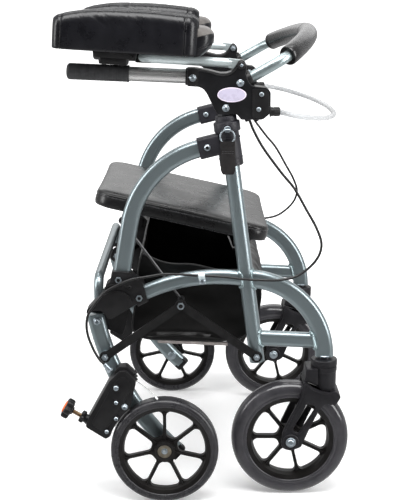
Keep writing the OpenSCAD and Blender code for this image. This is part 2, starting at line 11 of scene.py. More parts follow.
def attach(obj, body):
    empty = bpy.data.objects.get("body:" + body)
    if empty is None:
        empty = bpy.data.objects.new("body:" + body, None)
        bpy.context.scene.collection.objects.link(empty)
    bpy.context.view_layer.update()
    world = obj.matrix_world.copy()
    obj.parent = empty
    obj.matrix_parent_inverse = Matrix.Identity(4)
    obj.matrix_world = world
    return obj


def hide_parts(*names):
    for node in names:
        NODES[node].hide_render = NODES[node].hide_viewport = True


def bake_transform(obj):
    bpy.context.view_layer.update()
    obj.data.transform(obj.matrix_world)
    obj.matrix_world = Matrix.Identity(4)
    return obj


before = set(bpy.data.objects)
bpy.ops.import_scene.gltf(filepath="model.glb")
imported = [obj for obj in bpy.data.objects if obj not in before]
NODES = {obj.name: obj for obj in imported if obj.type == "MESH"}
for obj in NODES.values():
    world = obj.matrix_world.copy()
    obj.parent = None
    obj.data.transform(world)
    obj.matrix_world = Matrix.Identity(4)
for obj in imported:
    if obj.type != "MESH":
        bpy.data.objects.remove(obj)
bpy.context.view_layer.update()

SC = bpy.context.scene
OX = 2.2          # millimetres: the part's own offset along X
HALF = 268.0      # half distance between the side frames
random.seed(7)


# ------------------------------------------------------------------ helpers
def V(x, y, z):
    return Vector((x, y, z))


def rad(a):
    return math.radians(a)


def put(name, bm, mats, body, slot=None, rep=(), left=False, smooth=38, recalc=True):
    """Millimetre bmesh to an object in the row frame, riding on a body."""
    if recalc:
        bmesh.ops.recalc_face_normals(bm, faces=bm.faces)
    if left:
        for v in bm.verts:
            v.co.y = -v.co.y
        bmesh.ops.reverse_faces(bm, faces=bm.faces)
    for v in bm.verts:
        v.co = Vector(((v.co.x + OX) / 1000, v.co.y / 1000, v.co.z / 1000))
    me = bpy.data.meshes.new(name)
    bm.to_mesh(me)
    bm.free()
    for m in mats if isinstance(mats, (list, tuple)) else [mats]:
        me.materials.append(m)
    me.polygons.foreach_set("use_smooth", [True] * len(me.polygons))
    me.set_sharp_from_angle(angle=rad(smooth))
    ob = bpy.data.objects.new(name, me)
    SC.collection.objects.link(ob)
    if body:
        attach(ob, body)
    if rep:
        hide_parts(*([rep] if isinstance(rep, str) else rep))
    return ob


def both(name, build, mats, body, slot=None, rep=None, **kw):
    """The same piece on the right and, mirrored, on the left. %s in body or rep is the side."""
    out = []
    for side in ("right", "left"):
        out.append(put(f"{side}_{name}", build(), mats, body % side if "%s" in body else body, slot,
                       rep % side if rep else (), left=side == "left", **kw))
    return out


def sharp_edges(bm, edges, angle=28):
    out = []
    for e in edges:
        if len(e.link_faces) == 2:
            if e.calc_face_angle(0) > rad(angle):
                out.append(e)
    return out


def add(bm, other, mat=None):
    """Adds a bmesh to another."""
    me = bpy.data.meshes.new("tmp")
    other.to_mesh(me)
    other.free()
    n = len(bm.faces)
    bm.from_mesh(me)
    bpy.data.meshes.remove(me)
    bm.faces.ensure_lookup_table()
    if mat is not None:
        for f in bm.faces[n:]:
            f.material_index = mat
    return bm


def prism(pts, y0, y1, bevel=1.2, seg=2, angle=20):
    """Side-plane outline (X, Z) given depth along Y, edges rounded."""
    bm = bmesh.new()
    lo, hi = min(y0, y1), max(y0, y1)
    a = [bm.verts.new((p[0], lo, p[1])) for p in pts]
    b = [bm.verts.new((p[0], hi, p[1])) for p in pts]
    n = len(pts)
    bm.faces.new(a)
    bm.faces.new(list(reversed(b)))
    for i in range(n):
        bm.faces.new((a[i], b[i], b[(i + 1) % n], a[(i + 1) % n]))
    bmesh.ops.recalc_face_normals(bm, faces=bm.faces)
    if bevel:
        es = sharp_edges(bm, bm.edges, angle)
        bmesh.ops.bevel(bm, geom=es, offset=bevel, offset_type="OFFSET", segments=seg, profile=0.5, affect="EDGES", clamp_overlap=True)
    return bm


def rounded(pts, r, seg=5):
    """Outline with its corners rounded; r is one radius, or one for each corner."""
    out = []
    n = len(pts)
    for i in range(n):
        p, a, b = Vector(pts[i]), Vector(pts[i - 1]), Vector(pts[(i + 1) % n])
        rr = r[i] if isinstance(r, (list, tuple)) else r
        u, w = (a - p), (b - p)
        lu, lw = u.length, w.length
        u.normalize(); w.normalize()
        ang = u.angle(w)
        if rr < 0.05 or ang > rad(176):
            out.append((p.x, p.y))
            continue
        d = min(rr / math.tan(ang / 2), 0.48 * lu, 0.48 * lw)
        rr = d * math.tan(ang / 2)
        c = p + (u + w).normalized() * (rr / math.sin(ang / 2))
        s, e = p + u * d - c, p + w * d - c
        turn = s.angle_signed(e)
        for k in range(seg + 1):
            t = -turn * k / seg
            q = Vector((s.x * math.cos(t) - s.y * math.sin(t), s.x * math.sin(t) + s.y * math.cos(t)))
            out.append((c.x + q.x, c.y + q.y))
    return out


def frames(pts, up=None):
    """Parallel-transport frames along points."""
    pts = [Vector(p) for p in pts]
    n = len(pts)
    tang = []
    for i in range(n):
        tang.append((pts[min(i + 1, n - 1)] - pts[max(i - 1, 0)]).normalized())
    up = Vector(up) if up else (Vector((0, 1, 0)) if abs(tang[0].y) < 0.9 else Vector((1, 0, 0)))
    u = (up - tang[0] * up.dot(tang[0])).normalized()
    out = []
    for i in range(n):
        u = (u - tang[i] * u.dot(tang[i])).normalized()
        out.append((pts[i], u, tang[i].cross(u), tang[i]))
    return out


def tube(pts, r, n=12, caps=True, radii=None, up=None, closed=False, section=None):
    """Round tube, or a given section of (u, v) points, swept along points."""
    bm = bmesh.new()
    fr = frames(pts, up)
    rings = []
    for i, (p, u, v, _) in enumerate(fr):
        k = radii[i] if radii else 1.0
        if section:
            ring = [bm.verts.new(p + u * (a * k) + v * (b * k)) for a, b in section]
        else:
            ring = [bm.verts.new(p + (u * math.cos(2 * math.pi * j / n) + v * math.sin(2 * math.pi * j / n)) * r * k) for j in range(n)]
        rings.append(ring)
    m = len(rings[0])
    last = len(rings) if closed else len(rings) - 1
    for i in range(last):
        a, b = rings[i], rings[(i + 1) % len(rings)]
        for j in range(m):
            bm.faces.new((a[j], a[(j + 1) % m], b[(j + 1) % m], b[j]))
    if caps and not closed:
        bm.faces.new(list(reversed(rings[0])))
        bm.faces.new(rings[-1])
    bmesh.ops.recalc_face_normals(bm, faces=bm.faces)
    return bm


def lathe(origin, axis, prof, n=32, hexes=()):
    """Profile of (along, radius) turned about an axis. A profile index in hexes is drawn six-sided."""
    bm = bmesh.new()
    w = Vector(axis).normalized()
    u = Vector((0, 0, 1)) if abs(w.z) < 0.9 else Vector((1, 0, 0))
    u = (u - w * u.dot(w)).normalized()
    v = w.cross(u)
    o = Vector(origin)
    rings = []
    for k, (s, r) in enumerate(prof):
        if r < 1e-6:
            rings.append([bm.verts.new(o + w * s)])
            continue
        ring = []
        for j in range(n):
            t = 2 * math.pi * j / n
            q = r
            if k in hexes:
                q = r * math.cos(math.pi / 6) / math.cos(((t + math.pi / 6) % (math.pi / 3)) - math.pi / 6)
            ring.append(bm.verts.new(o + w * s + (u * math.cos(t) + v * math.sin(t)) * q))
        rings.append(ring)
    for a, b in zip(rings, rings[1:]):
        if len(a) == 1 and len(b) == 1:
            continue
        for j in range(n):
            if len(a) == 1:
                bm.faces.new((a[0], b[(j + 1) % n], b[j]))
            elif len(b) == 1:
                bm.faces.new((a[j], a[(j + 1) % n], b[0]))
            else:
                bm.faces.new((a[j], a[(j + 1) % n], b[(j + 1) % n], b[j]))
    if len(rings[0]) > 1:
        bm.faces.new(list(reversed(rings[0])))
    if len(rings[-1]) > 1:
        bm.faces.new(rings[-1])
    bmesh.ops.recalc_face_normals(bm, faces=bm.faces)
    return bm


def catmull(pts, k):
    """Smooth route through points, k steps for each stretch."""
    out = []
    n = len(pts) - 1
    P = [Vector(p) for p in pts]
    for i in range(n):
        a, b, c, d = P[max(i - 1, 0)], P[i], P[i + 1], P[min(i + 2, n)]
        for j in range(k):
            t = j / k
            out.append(0.5 * (2 * b + (c - a) * t + (2 * a - 5 * b + 4 * c - d) * t * t + (3 * b - a - 3 * c + d) * t ** 3))
    out.append(P[-1].copy())
    return out


def length(pts):
    return sum((Vector(b) - Vector(a)).length for a, b in zip(pts, pts[1:]))


def smooth_noise(p, s, seed=0.0):
    return noise.noise(Vector((p[0] * s + seed, p[1] * s - 2 * seed, p[2] * s + 0.37 * seed)))


# socket-headed button screw: p is the point on the surface, d the outward direction
def button(p, d, r, h, n=24, washer=0.0):
    bm = bmesh.new()
    base = 0.0
    if washer:
        add(bm, lathe(p, d, [(0, 0), (0, washer), (0.9, washer), (1.3, washer - 0.5), (1.3, 0)], n))
        base = 1.2
    k = 0.5 * r
    prof = [(base, 0), (base, r), (base + 0.18 * h, r), (base + 0.5 * h, 0.93 * r), (base + 0.8 * h, 0.78 * r), (base + h, 0.6 * r),
            (base + h, k), (base + 0.35 * h, k * 0.97), (base + 0.35 * h, 0)]
    add(bm, lathe(p, d, prof, n, hexes=(6, 7)))
    return bm


# hexagon nut with a rounded thread end in it
def nut(p, d, r, h, n=36, washer=0.0, stud=0.0):
    bm = bmesh.new()
    base = 0.0
    if washer:
        add(bm, lathe(p, d, [(0, 0), (0, washer), (0.8, washer), (1.2, washer - 0.5), (1.2, 0)], n))
        base = 1.1
    s = 0.55 * r
    prof = [(base, 0), (base, r), (base + 0.8 * h, r), (base + h, 0.86 * r), (base + h, s), (base + h * 0.7, s * 0.95),
            (base + h + stud, s * 0.95), (base + h + stud + 0.6, s * 0.7), (base + h + stud + 0.6, 0)]
    add(bm, lathe(p, d, prof, n, hexes=(1, 2)))
    return bm


# ------------------------------------------------------------------ materials
def mat(name, base, rough, metallic=0.0, vary=0.12, vscale=60.0, rvary=0.08, bump=0.0, bscale=900.0, detail=3.0,
        coat=0.0, coat_rough=0.1, sheen=0.0, stretch=None, spec=None, second=None, transmission=0.0, ior=None, bump_dist=0.0006):
    """Principled material with procedural colour, roughness and bump, on the piece's own coordinates."""
    m = bpy.data.materials.new(name)
    m.use_nodes = True
    nt = m.node_tree
    nd, ln = nt.nodes, nt.links
    bs = nd["Principled BSDF"]
    bs.inputs["Metallic"].default_value = metallic
    bs.inputs["Roughness"].default_value = rough
    bs.inputs["Base Color"].default_value = (*base, 1)
    if coat:
        bs.inputs["Coat Weight"].default_value = coat
        bs.inputs["Coat Roughness"].default_value = coat_rough
    if sheen:
        bs.inputs["Sheen Weight"].default_value = sheen
        bs.inputs["Sheen Roughness"].default_value = 0.5
    if spec is not None:
        bs.inputs["Specular IOR Level"].default_value = spec
    if transmission:
        bs.inputs["Transmission Weight"].default_value = transmission
    if ior:
        bs.inputs["IOR"].default_value = ior
    tc = nd.new("ShaderNodeTexCoord")
    src = tc.outputs["Object"]
    if stretch:
        mp = nd.new("ShaderNodeMapping")
        mp.inputs["Scale"].default_value = stretch
        ln.new(src, mp.inputs["Vector"])
        src = mp.outputs["Vector"]
    n1 = nd.new("ShaderNodeTexNoise")
    n1.inputs["Scale"].default_value = vscale
    n1.inputs["Detail"].default_value = 5.0
    n1.inputs["Roughness"].default_value = 0.6
    ln.new(src, n1.inputs["Vector"])
    cr = nd.new("ShaderNodeValToRGB")
    lo = [max(0.0, c * (1 - vary)) for c in base]
    hi = list(second) if second else [min(1.0, c * (1 + vary)) for c in base]
    cr.color_ramp.elements[0].position = 0.3
    cr.color_ramp.elements[0].color = (*lo, 1)
    cr.color_ramp.elements[1].position = 0.7
    cr.color_ramp.elements[1].color = (*hi, 1)
    ln.new(n1.outputs["Fac"], cr.inputs["Fac"])
    ln.new(cr.outputs["Color"], bs.inputs["Base Color"])
    mr = nd.new("ShaderNodeMapRange")
    mr.inputs["From Min"].default_value = 0.3
    mr.inputs["From Max"].default_value = 0.7
    mr.inputs["To Min"].default_value = max(0.02, rough - rvary)
    mr.inputs["To Max"].default_value = min(1.0, rough + rvary)
    ln.new(n1.outputs["Fac"], mr.inputs["Value"])
    ln.new(mr.outputs["Result"], bs.inputs["Roughness"])
    if bump:
        n2 = nd.new("ShaderNodeTexNoise")
        n2.inputs["Scale"].default_value = bscale
        n2.inputs["Detail"].default_value = detail
        ln.new(src, n2.inputs["Vector"])
        b = nd.new("ShaderNodeBump")
        b.inputs["Strength"].default_value = bump
        b.inputs["Distance"].default_value = bump_dist
        ln.new(n2.outputs["Fac"], b.inputs["Height"])
        ln.new(b.outputs["Normal"], bs.inputs["Normal"])
    return m


def grain(m, cell, strength, distance=0.0004, crease=0.0, cscale=30.0):
    """Leather grain: cells with soft valleys, and fine creases that run along the piece."""
    nt = m.node_tree
    nd, ln = nt.nodes, nt.links
    bs = nd["Principled BSDF"]
    tc = [n for n in nd if n.type == "TEX_COORD"][0]
    vo = nd.new("ShaderNodeTexVoronoi")
    vo.feature = "DISTANCE_TO_EDGE"
    vo.inputs["Scale"].default_value = cell
    ln.new(tc.outputs["Object"], vo.inputs["Vector"])
    rp = nd.new("ShaderNodeMapRange")
    rp.inputs["From Min"].default_value = 0.0
    rp.inputs["From Max"].default_value = 0.25
    ln.new(vo.outputs["Distance"], rp.inputs["Value"])
    b = nd.new("ShaderNodeBump")
    b.inputs["Strength"].default_value = strength
    b.inputs["Distance"].default_value = distance
    ln.new(rp.outputs["Result"], b.inputs["Height"])
    last = b
    if crease:
        mp = nd.new("ShaderNodeMapping")
        mp.inputs["Rotation"].default_value = (0, 0.7, 0)
        mp.inputs["Scale"].default_value = (0.35, 1.0, 1.6)
        ln.new(tc.outputs["Object"], mp.inputs["Vector"])
        wn = nd.new("ShaderNodeTexNoise")
        wn.inputs["Scale"].default_value = cscale
        wn.inputs["Detail"].default_value = 4.0
        wn.inputs["Distortion"].default_value = 1.2
        ln.new(mp.outputs["Vector"], wn.inputs["Vector"])
        b2 = nd.new("ShaderNodeBump")
        b2.inputs["Strength"].default_value = crease
        b2.inputs["Distance"].default_value = 0.003
        ln.new(wn.outputs["Fac"], b2.inputs["Height"])
        ln.new(b.outputs["Normal"], b2.inputs["Normal"])
        last = b2
    ln.new(last.outputs["Normal"], bs.inputs["Normal"])
    return m


def weave(m, pitch, strength, axes=("X", "Z"), distance=0.0004):
    """Woven threads: two crossing sets of bands."""
    nt = m.node_tree
    nd, ln = nt.nodes, nt.links
    bs = nd["Principled BSDF"]
    tc = [n for n in nd if n.type == "TEX_COORD"][0]
    outs = []
    for ax in axes:
        w = nd.new("ShaderNodeTexWave")
        w.wave_type = "BANDS"
        w.bands_direction = ax
        w.inputs["Scale"].default_value = 0.314 / pitch
        w.inputs["Distortion"].default_value = 0.6
        w.inputs["Detail"].default_value = 1.0
        w.inputs["Detail Scale"].default_value = 2.0
        ln.new(tc.outputs["Object"], w.inputs["Vector"])
        outs.append(w.outputs["Fac"])
    mu = nd.new("ShaderNodeMath")
    mu.operation = "MAXIMUM"
    ln.new(outs[0], mu.inputs[0])
    ln.new(outs[1], mu.inputs[1])
    b = nd.new("ShaderNodeBump")
    b.inputs["Strength"].default_value = strength
    b.inputs["Distance"].default_value = distance
    ln.new(mu.outputs["Value"], b.inputs["Height"])
    ln.new(b.outputs["Normal"], bs.inputs["Normal"])
    return m


M = {}
M["paint"] = mat("frame_paint", (0.275, 0.328, 0.345), 0.31, 0.82, vary=0.05, vscale=900, rvary=0.03, bump=0.05, bscale=1400, coat=0.35, coat_rough=0.12)
M["weld"] = mat("weld_bead", (0.32, 0.40, 0.415), 0.34, 0.82, vary=0.12, vscale=260, rvary=0.08, bump=0.35, bscale=420, coat=0.2)
M["silver"] = mat("silver_tube", (0.40, 0.475, 0.485), 0.33, 0.85, vary=0.05, vscale=300, rvary=0.04, bump=0.03, bscale=900, coat=0.1, coat_rough=0.2)
M["plastic"] = mat("black_plastic", (0.0085, 0.0082, 0.0088), 0.40, vary=0.3, vscale=45, rvary=0.07, bump=0.14, bscale=1500, spec=0.36)
M["plastic_gloss"] = mat("black_plastic_smooth", (0.0075, 0.0075, 0.0085), 0.33, vary=0.3, vscale=40, rvary=0.06, bump=0.08, bscale=900, spec=0.3)
M["collar"] = mat("collar_plastic", (0.017, 0.0165, 0.021), 0.44, vary=0.25, vscale=50, rvary=0.07, bump=0.25, bscale=1300, spec=0.35)
M["fork"] = mat("fork_plastic", (0.011, 0.0105, 0.0125), 0.40, vary=0.3, vscale=40, rvary=0.08, bump=0.2, bscale=1200, spec=0.32)
# black finish of real black parts; it also carries painted shade: the discs in nut hollows, and the front cross tube
# with its weld collar
M["black_metal"] = mat("black_paint", (0.008, 0.0078, 0.008), 0.38, vary=0.3, vscale=70, rvary=0.08, bump=0.1, bscale=800, spec=0.32)
M["zinc"] = mat("zinc", (0.55, 0.62, 0.67), 0.34, 0.95, vary=0.12, vscale=220, rvary=0.08, bump=0.06, bscale=700)
M["steel"] = mat("steel_wire", (0.55, 0.55, 0.54), 0.3, 1.0, vary=0.15, vscale=500, rvary=0.08, bump=0.2, bscale=2500)
# lighter, less metallic copy of the silver tube finish: the silver is real; the lighter base colour is a painted
# highlight for the floor's reflection on the tube under the pad
M["arm"] = mat("arm_tube", (0.66, 0.74, 0.75), 0.36, 0.6, vary=0.05, vscale=300, rvary=0.04, bump=0.02, bscale=900)
M["rod"] = mat("dark_rod", (0.16, 0.16, 0.165), 0.42, 0.9, vary=0.15, vscale=300, bump=0.06, bscale=900)
M["alu"] = mat("brushed_aluminium", (0.66, 0.655, 0.65), 0.3, 0.85, vary=0.06, vscale=900, rvary=0.08, bump=0.05, bscale=1500, stretch=(0.02, 1, 1))
M["dark_tube"] = mat("inner_post", (0.07, 0.072, 0.078), 0.36, 0.7, vary=0.15, vscale=120, bump=0.05, bscale=700)
M["foam"] = mat("foam", (0.004, 0.0038, 0.0042), 0.27, vary=0.3, vscale=700, rvary=0.05, bump=0.06, bscale=1300, detail=5, spec=0.66)
M["grip"] = mat("grip_rubber", (0.022, 0.0223, 0.024), 0.55, vary=0.25, vscale=120, rvary=0.08, bump=0.3, bscale=1500, spec=0.35)
M["rear_tyre"] = mat("rear_tyre", (0.026, 0.0253, 0.0283), 0.30, vary=0.22, vscale=35, rvary=0.1, bump=0.15, bscale=900, spec=0.5)
M["front_tyre"] = mat("front_tyre", (0.036, 0.0348, 0.039), 0.18, vary=0.22, vscale=30, rvary=0.06, bump=0.05, bscale=700, spec=0.6)
M["rim"] = mat("rim_plastic", (0.0085, 0.0075, 0.0072), 0.38, vary=0.3, vscale=45, rvary=0.08, bump=0.18, bscale=1100, spec=0.35)
M["bearing"] = mat("bearing", (0.42, 0.37, 0.29), 0.38, 0.9, vary=0.25, vscale=160, rvary=0.1, bump=0.15, bscale=800)
M["pad"] = grain(mat("pad_leather", (0.0055, 0.0055, 0.0072), 0.29, vary=0.3, vscale=40, rvary=0.05, spec=0.44), 750, 0.02, crease=0.026, cscale=42)
M["pad_floor"] = grain(mat("pad_floor_leather", (0.125, 0.115, 0.107), 0.45, vary=0.2, vscale=90, rvary=0.09, sheen=0.1), 700, 0.3)
M["seat"] = grain(mat("seat_vinyl", (0.0085, 0.0083, 0.0088), 0.28, vary=0.25, vscale=25, rvary=0.05, spec=0.5), 1100, 0.025)
M["piping"] = mat("piping", (0.03, 0.03, 0.032), 0.28, vary=0.2, vscale=200, bump=0.1, bscale=900)
M["thread"] = mat("stitching", (0.05, 0.05, 0.052), 0.55, vary=0.2, vscale=400, bump=0.3, bscale=2500)
M["bag"] = weave(mat("bag_fabric", (0.0034, 0.0031, 0.003), 0.36, vary=0.3, vscale=30, rvary=0.08, spec=0.38), 0.0011, 0.12)
M["bag_in"] = weave(mat("bag_lining", (0.045, 0.032, 0.025), 0.6, vary=0.3, vscale=30, rvary=0.08), 0.0011, 0.3)
M["bag_trim"] = weave(mat("bag_binding", (0.011, 0.011, 0.0115), 0.6, vary=0.3, vscale=90, rvary=0.08), 0.0009, 0.5)
M["strip"] = weave(mat("bag_edge_tape", (0.26, 0.235, 0.225), 0.6, vary=0.25, vscale=90, rvary=0.08), 0.0011, 0.5)
M["webbing"] = weave(mat("webbing", (0.014, 0.0125, 0.0127), 0.6, vary=0.3, vscale=120, rvary=0.08, spec=0.2), 0.0013, 0.35)
M["cable"] = mat("cable_sheath", (0.0095, 0.0092, 0.0095), 0.36, vary=0.25, vscale=90, rvary=0.07, bump=0.1, bscale=900)
M["loop"] = mat("clear_tube", (0.50, 0.51, 0.52), 0.22, vary=0.03, vscale=30, rvary=0.03, bump=0.01, bscale=300, transmission=0.12, ior=1.42)
M["brass"] = mat("brass_screw", (0.50, 0.36, 0.24), 0.32, 1.0, vary=0.2, vscale=300, rvary=0.1, bump=0.2, bscale=900)
M["orange"] = mat("orange_insert", (0.80, 0.13, 0.012), 0.4, vary=0.1, vscale=120, bump=0.1, bscale=900)
M["shoe"] = mat("pressed_steel", (0.36, 0.36, 0.36), 0.4, 0.9, vary=0.2, vscale=120, bump=0.15, bscale=700)
M["badge"] = mat("badge_lilac", (0.43, 0.40, 0.51), 0.3, vary=0.02, vscale=60, rvary=0.05, bump=0.03, bscale=500, coat=0.3)
M["badge_rim"] = mat("badge_rim", (0.70, 0.62, 0.74), 0.3, vary=0.06, vscale=60, bump=0.03, bscale=500, coat=0.3)
M["white"] = mat("white_crimp", (0.78, 0.79, 0.79), 0.35, vary=0.05, vscale=150, bump=0.1, bscale=600)
M["clip"] = mat("clip_plastic", (0.60, 0.68, 0.70), 0.35, 0.3, vary=0.08, vscale=150, bump=0.1, bscale=700)
M["hook"] = mat("grey_hook", (0.30, 0.30, 0.30), 0.4, 0.5, vary=0.1, vscale=150, bump=0.1, bscale=700)


def finish_node(name, m, slot_name=None):
    """A CAD node that keeps its own shape gets a finished material."""
    ob = NODES[name]
    ob.data.materials.clear()
    ob.data.materials.append(M[m])
    return ob


# ------------------------------------------------------------------ forearm pads
PAD_X0, PAD_X1 = -270.0, -17.6
TIP = (60.7, 805.0, rad(3.5))


def tip(bm):
    """The forearm supports are drawn level and stand a little nose down, turned about their pivot."""
    px, pz, a = TIP
    c, s = math.cos(a), math.sin(a)
    for v in bm.verts:
        x, z = v.co.x - px, v.co.z - pz
        v.co.x, v.co.z = px + x * c + z * s, pz - x * s + z * c
    return bm


def pad_top(x):
    """Height of the side walls' crest along the pad."""
    return 889.3 - 9.5 * ((x + 118) / 140) ** 2 - 6.0 * (max(0.0, -205 - x) / 60) ** 1.7


def pad_section(x, n=46, o=0.0):
    """Closed U section (y, z) at x: outer wall, crest, inner wall, floor, and back; o draws the outer wall in towards the pad's ends."""
    top = pad_top(x) - 0.42 * o
    half = []
    # from the middle of the underside to the middle of the trough floor, on the -Y side
    low, r = 815.4 + 0.12 * o, 2.6
    out, mid, inn = -51.0 + o, -32.0 + 0.35 * o, -25.4 + 0.3 * o
    path = [(0, low), (out + 17, low), (out + r, low)]
    for k in range(1, 7):
        a = rad(270 - 90 * k / 6)
        path.append((out + r + r * math.cos(a), low + r + r * math.sin(a)))
    sh = 22.0 - 0.5 * o
    for k in range(1, 9):
        t = k / 9
        path.append((out - 1.3 * math.sin(math.pi * t), low + r + (top - sh - low - r) * t))
    for k in range(0, 13):
        a = rad(90 * k / 12)
        path.append((mid - (mid - out) * math.cos(a), top - sh + sh * math.sin(a)))
    for k in range(1, 9):
        a = rad(90 * k / 8)
        path.append((mid + (inn - mid) * math.sin(a), top - 9 + 9 * math.cos(a)))
    for k in range(1, 6):
        t = k / 6
        path.append((inn + 1.0 * math.sin(math.pi * t), top - 9 + (860 - top + 9) * t))
    for k in range(0, 6):
        a = rad(180 + 90 * k / 5)
        path.append((inn + 10 + 10 * math.cos(a), 859 + 10 * math.sin(a)))
    path.append((0, 848.6))
    cum = [0]
    for a, b in zip(path, path[1:]):
        cum.append(cum[-1] + math.dist(a, b))
    j = 0
    for i in range(n):
        s = cum[-1] * i / (n - 1)
        while j < len(path) - 2 and cum[j + 1] <= s:
            j += 1
        t = (s - cum[j]) / (cum[j + 1] - cum[j])
        half.append((path[j][0] + (path[j + 1][0] - path[j][0]) * t, path[j][1] + (path[j + 1][1] - path[j][1]) * t))
    other = [(-p[0], p[1]) for p in reversed(half[1:-1])]
    return half + other


def inset_loop(loop, d):
    """Clockwise loop moved inwards by d along its own normals."""
    n = len(loop)
    out = []
    for i in range(n):
        a, b = Vector(loop[i - 1]), Vector(loop[(i + 1) % n])
        t = (b - a).normalized()
        nrm = Vector((t.y, -t.x))
        out.append((loop[i][0] + nrm.x * d, loop[i][1] + nrm.y * d))
    return out


def crease(x, y, z, seed):
    """Depth of the leather's creases on a pad's wall: long soft ones, and fine ones under the crest."""
    m = math.exp(-((x + 178) / 62) ** 2 - ((z - 872) / 22) ** 2) + 0.45 * math.exp(-((x + 90) / 60) ** 2 - ((z - 856) / 20) ** 2) \
        + 0.35 * math.exp(-((x + 50) / 26) ** 2 - ((z - 842) / 12) ** 2)
    f = math.exp(-((z - 872) / 11) ** 2) * (0.35 + 0.65 * math.exp(-((x + 165) / 75) ** 2))
    if m < 0.02 and f < 0.02:
        return 0.0
    c, s = math.cos(rad(38)), math.sin(rad(38))
    a, b = x * c - z * s, x * s + z * c
    n1 = noise.noise(Vector((a * 0.012 + seed, b * 0.085, y * 0.02 + seed)))
    n2 = noise.noise(Vector((a * 0.022 + 9 + seed, b * 0.15, y * 0.03)))
    n3 = noise.noise(Vector((a * 0.03 + 4 + seed, b * 0.15 + 0.03 * a, y * 0.02)))
    g = max(0.0, 1 - abs(n1) / 0.10) + 0.55 * max(0.0, 1 - abs(n2) / 0.10)
    return 0.6 * m * g + 0.3 * f * max(0.0, 1 - abs(n3) / 0.22)


SEAM_X = (-41.0, PAD_X0 + 15)


def pad_shell(seed):
    bm = bmesh.new()
    xs = []
    er, ef = 15.0, 23.0
    ends = [0.0, 0.015, 0.05, 0.1, 0.17, 0.26, 0.37, 0.5, 0.65, 0.82, 1.0]
    xs += [(PAD_X0 + d * er, er - er * math.sqrt(max(0, 1 - (1 - d) ** 2))) for d in ends]
    m = 200
    a, b = PAD_X0 + er, PAD_X1 - ef
    xs += [(a + (b - a) * k / m, 0.0) for k in range(1, m)]
    xs += [(PAD_X1 - d * ef, ef - ef * math.sqrt(max(0, 1 - (1 - d) ** 2))) for d in reversed(ends)]
    rings = []
    nn = 0
    for x, d in xs:
        loop = pad_section(x, 96, min(d, 17.5))
        # seams near both ends pull the cover in
        pull = 1.5 * math.exp(-((x - SEAM_X[0]) / 2.4) ** 2) + 0.9 * math.exp(-((x - SEAM_X[1]) / 2.2) ** 2)
        if pull > 0.02:
            loop = inset_loop(loop, pull)
        nn = len(loop)
        ring = []
        for i, (y, z) in enumerate(loop):
            # slow unevenness of the stuffing, and creases on the walls
            ta, tb = Vector(loop[i - 1]), Vector(loop[(i + 1) % nn])
            t = (tb - ta).normalized()
            nx, nz = -t.y, t.x
            h = 0.7 * smooth_noise((x, y, z), 0.016, seed) + 0.3 * smooth_noise((x, y, z), 0.045, seed + 3)
            if z > 822:
                h -= crease(x, y, z, seed if y < 0 else seed + 4)
            if z < 819:
                h = min(h, 0.0)
            ring.append(bm.verts.new((x, -HALF + y + nx * h, max(815.3, z + nz * h))))
        rings.append(ring)
    for r0, r1 in zip(rings, rings[1:]):
        for i in range(nn):
            bm.faces.new((r0[i], r0[(i + 1) % nn], r1[(i + 1) % nn], r1[i]))
    for ring in (rings[0], rings[-1]):
        bm.faces.new(ring)
    return tip(bm)


def pad_seams(seed):
    """Raised welts where the end panels are sewn on."""
    bm = bmesh.new()
    for x, d in ((SEAM_X[0] + 1.6, 0.25), (SEAM_X[1], 0.35)):
        loop = pad_section(x, 60)
        pts = [V(x, -HALF + y, z) for y, z in inset_loop(loop, d)]
        add(bm, tube(pts, 0.7, 6, closed=True))
    return tip(bm)


def pad_floor(seed):
    """The long cushion on the trough's floor."""
    bm = bmesh.new()
    x0, x1 = -258.0, -14.0
    n, m = 90, 36
    rings = []
    for k in range(n + 1):
        t = k / n
        u = 0.5 - 0.5 * math.cos(math.pi * t)
        x = x0 + (x1 - x0) * (0.35 * t + 0.65 * u)
        end = min(1.0, max(0.0, (x - x0) / 9.0), max(0.0, (x1 - x) / 6.0 + 0.05))
        f = max(0.06, math.sqrt(max(0.0, 1 - (1 - end) ** 2)))
        ring = []
        for j in range(m):
            a = 2 * math.pi * j / m
            ca, sa = math.cos(a), math.sin(a)
            yy = 25.0 * math.copysign(abs(ca) ** 0.42, ca) * (0.8 + 0.2 * f)
            zz = math.copysign(abs(sa) ** 0.62, sa)
            z = 854.5 + zz * 6.4 * f
            if zz > 0:
                z += 1.6 * (1 - (yy / 25.0) ** 2) * f + 0.35 * smooth_noise((x, yy, z), 0.03, seed)
            ring.append(bm.verts.new((x, -HALF + yy, z)))
        rings.append(ring)
    for r0, r1 in zip(rings, rings[1:]):
        for i in range(m):
            bm.faces.new((r0[i], r0[(i + 1) % m], r1[(i + 1) % m], r1[i]))
    bm.faces.new(rings[0])
    bm.faces.new(rings[-1])
    return tip(bm)


NOSE = [(-24, 850), (-24, 867), (-14, 868.5), (-5, 867.5), (2, 864.5), (6.6, 860.5), (8.6, 857), (5, 854), (-3, 852), (-12, 850.5)]
CHIN = [(-24, 816), (-24, 855), (-12, 856), (2, 857), (8.4, 857.6), (10.2, 852), (10.0, 845), (8, 836.5), (2.5, 828), (-4, 821.8), (-11, 816.6)]


def dome_k(y, w, p=2.5):
    return max(0.0, 1 - abs(y / w) ** p) ** (1 / p)


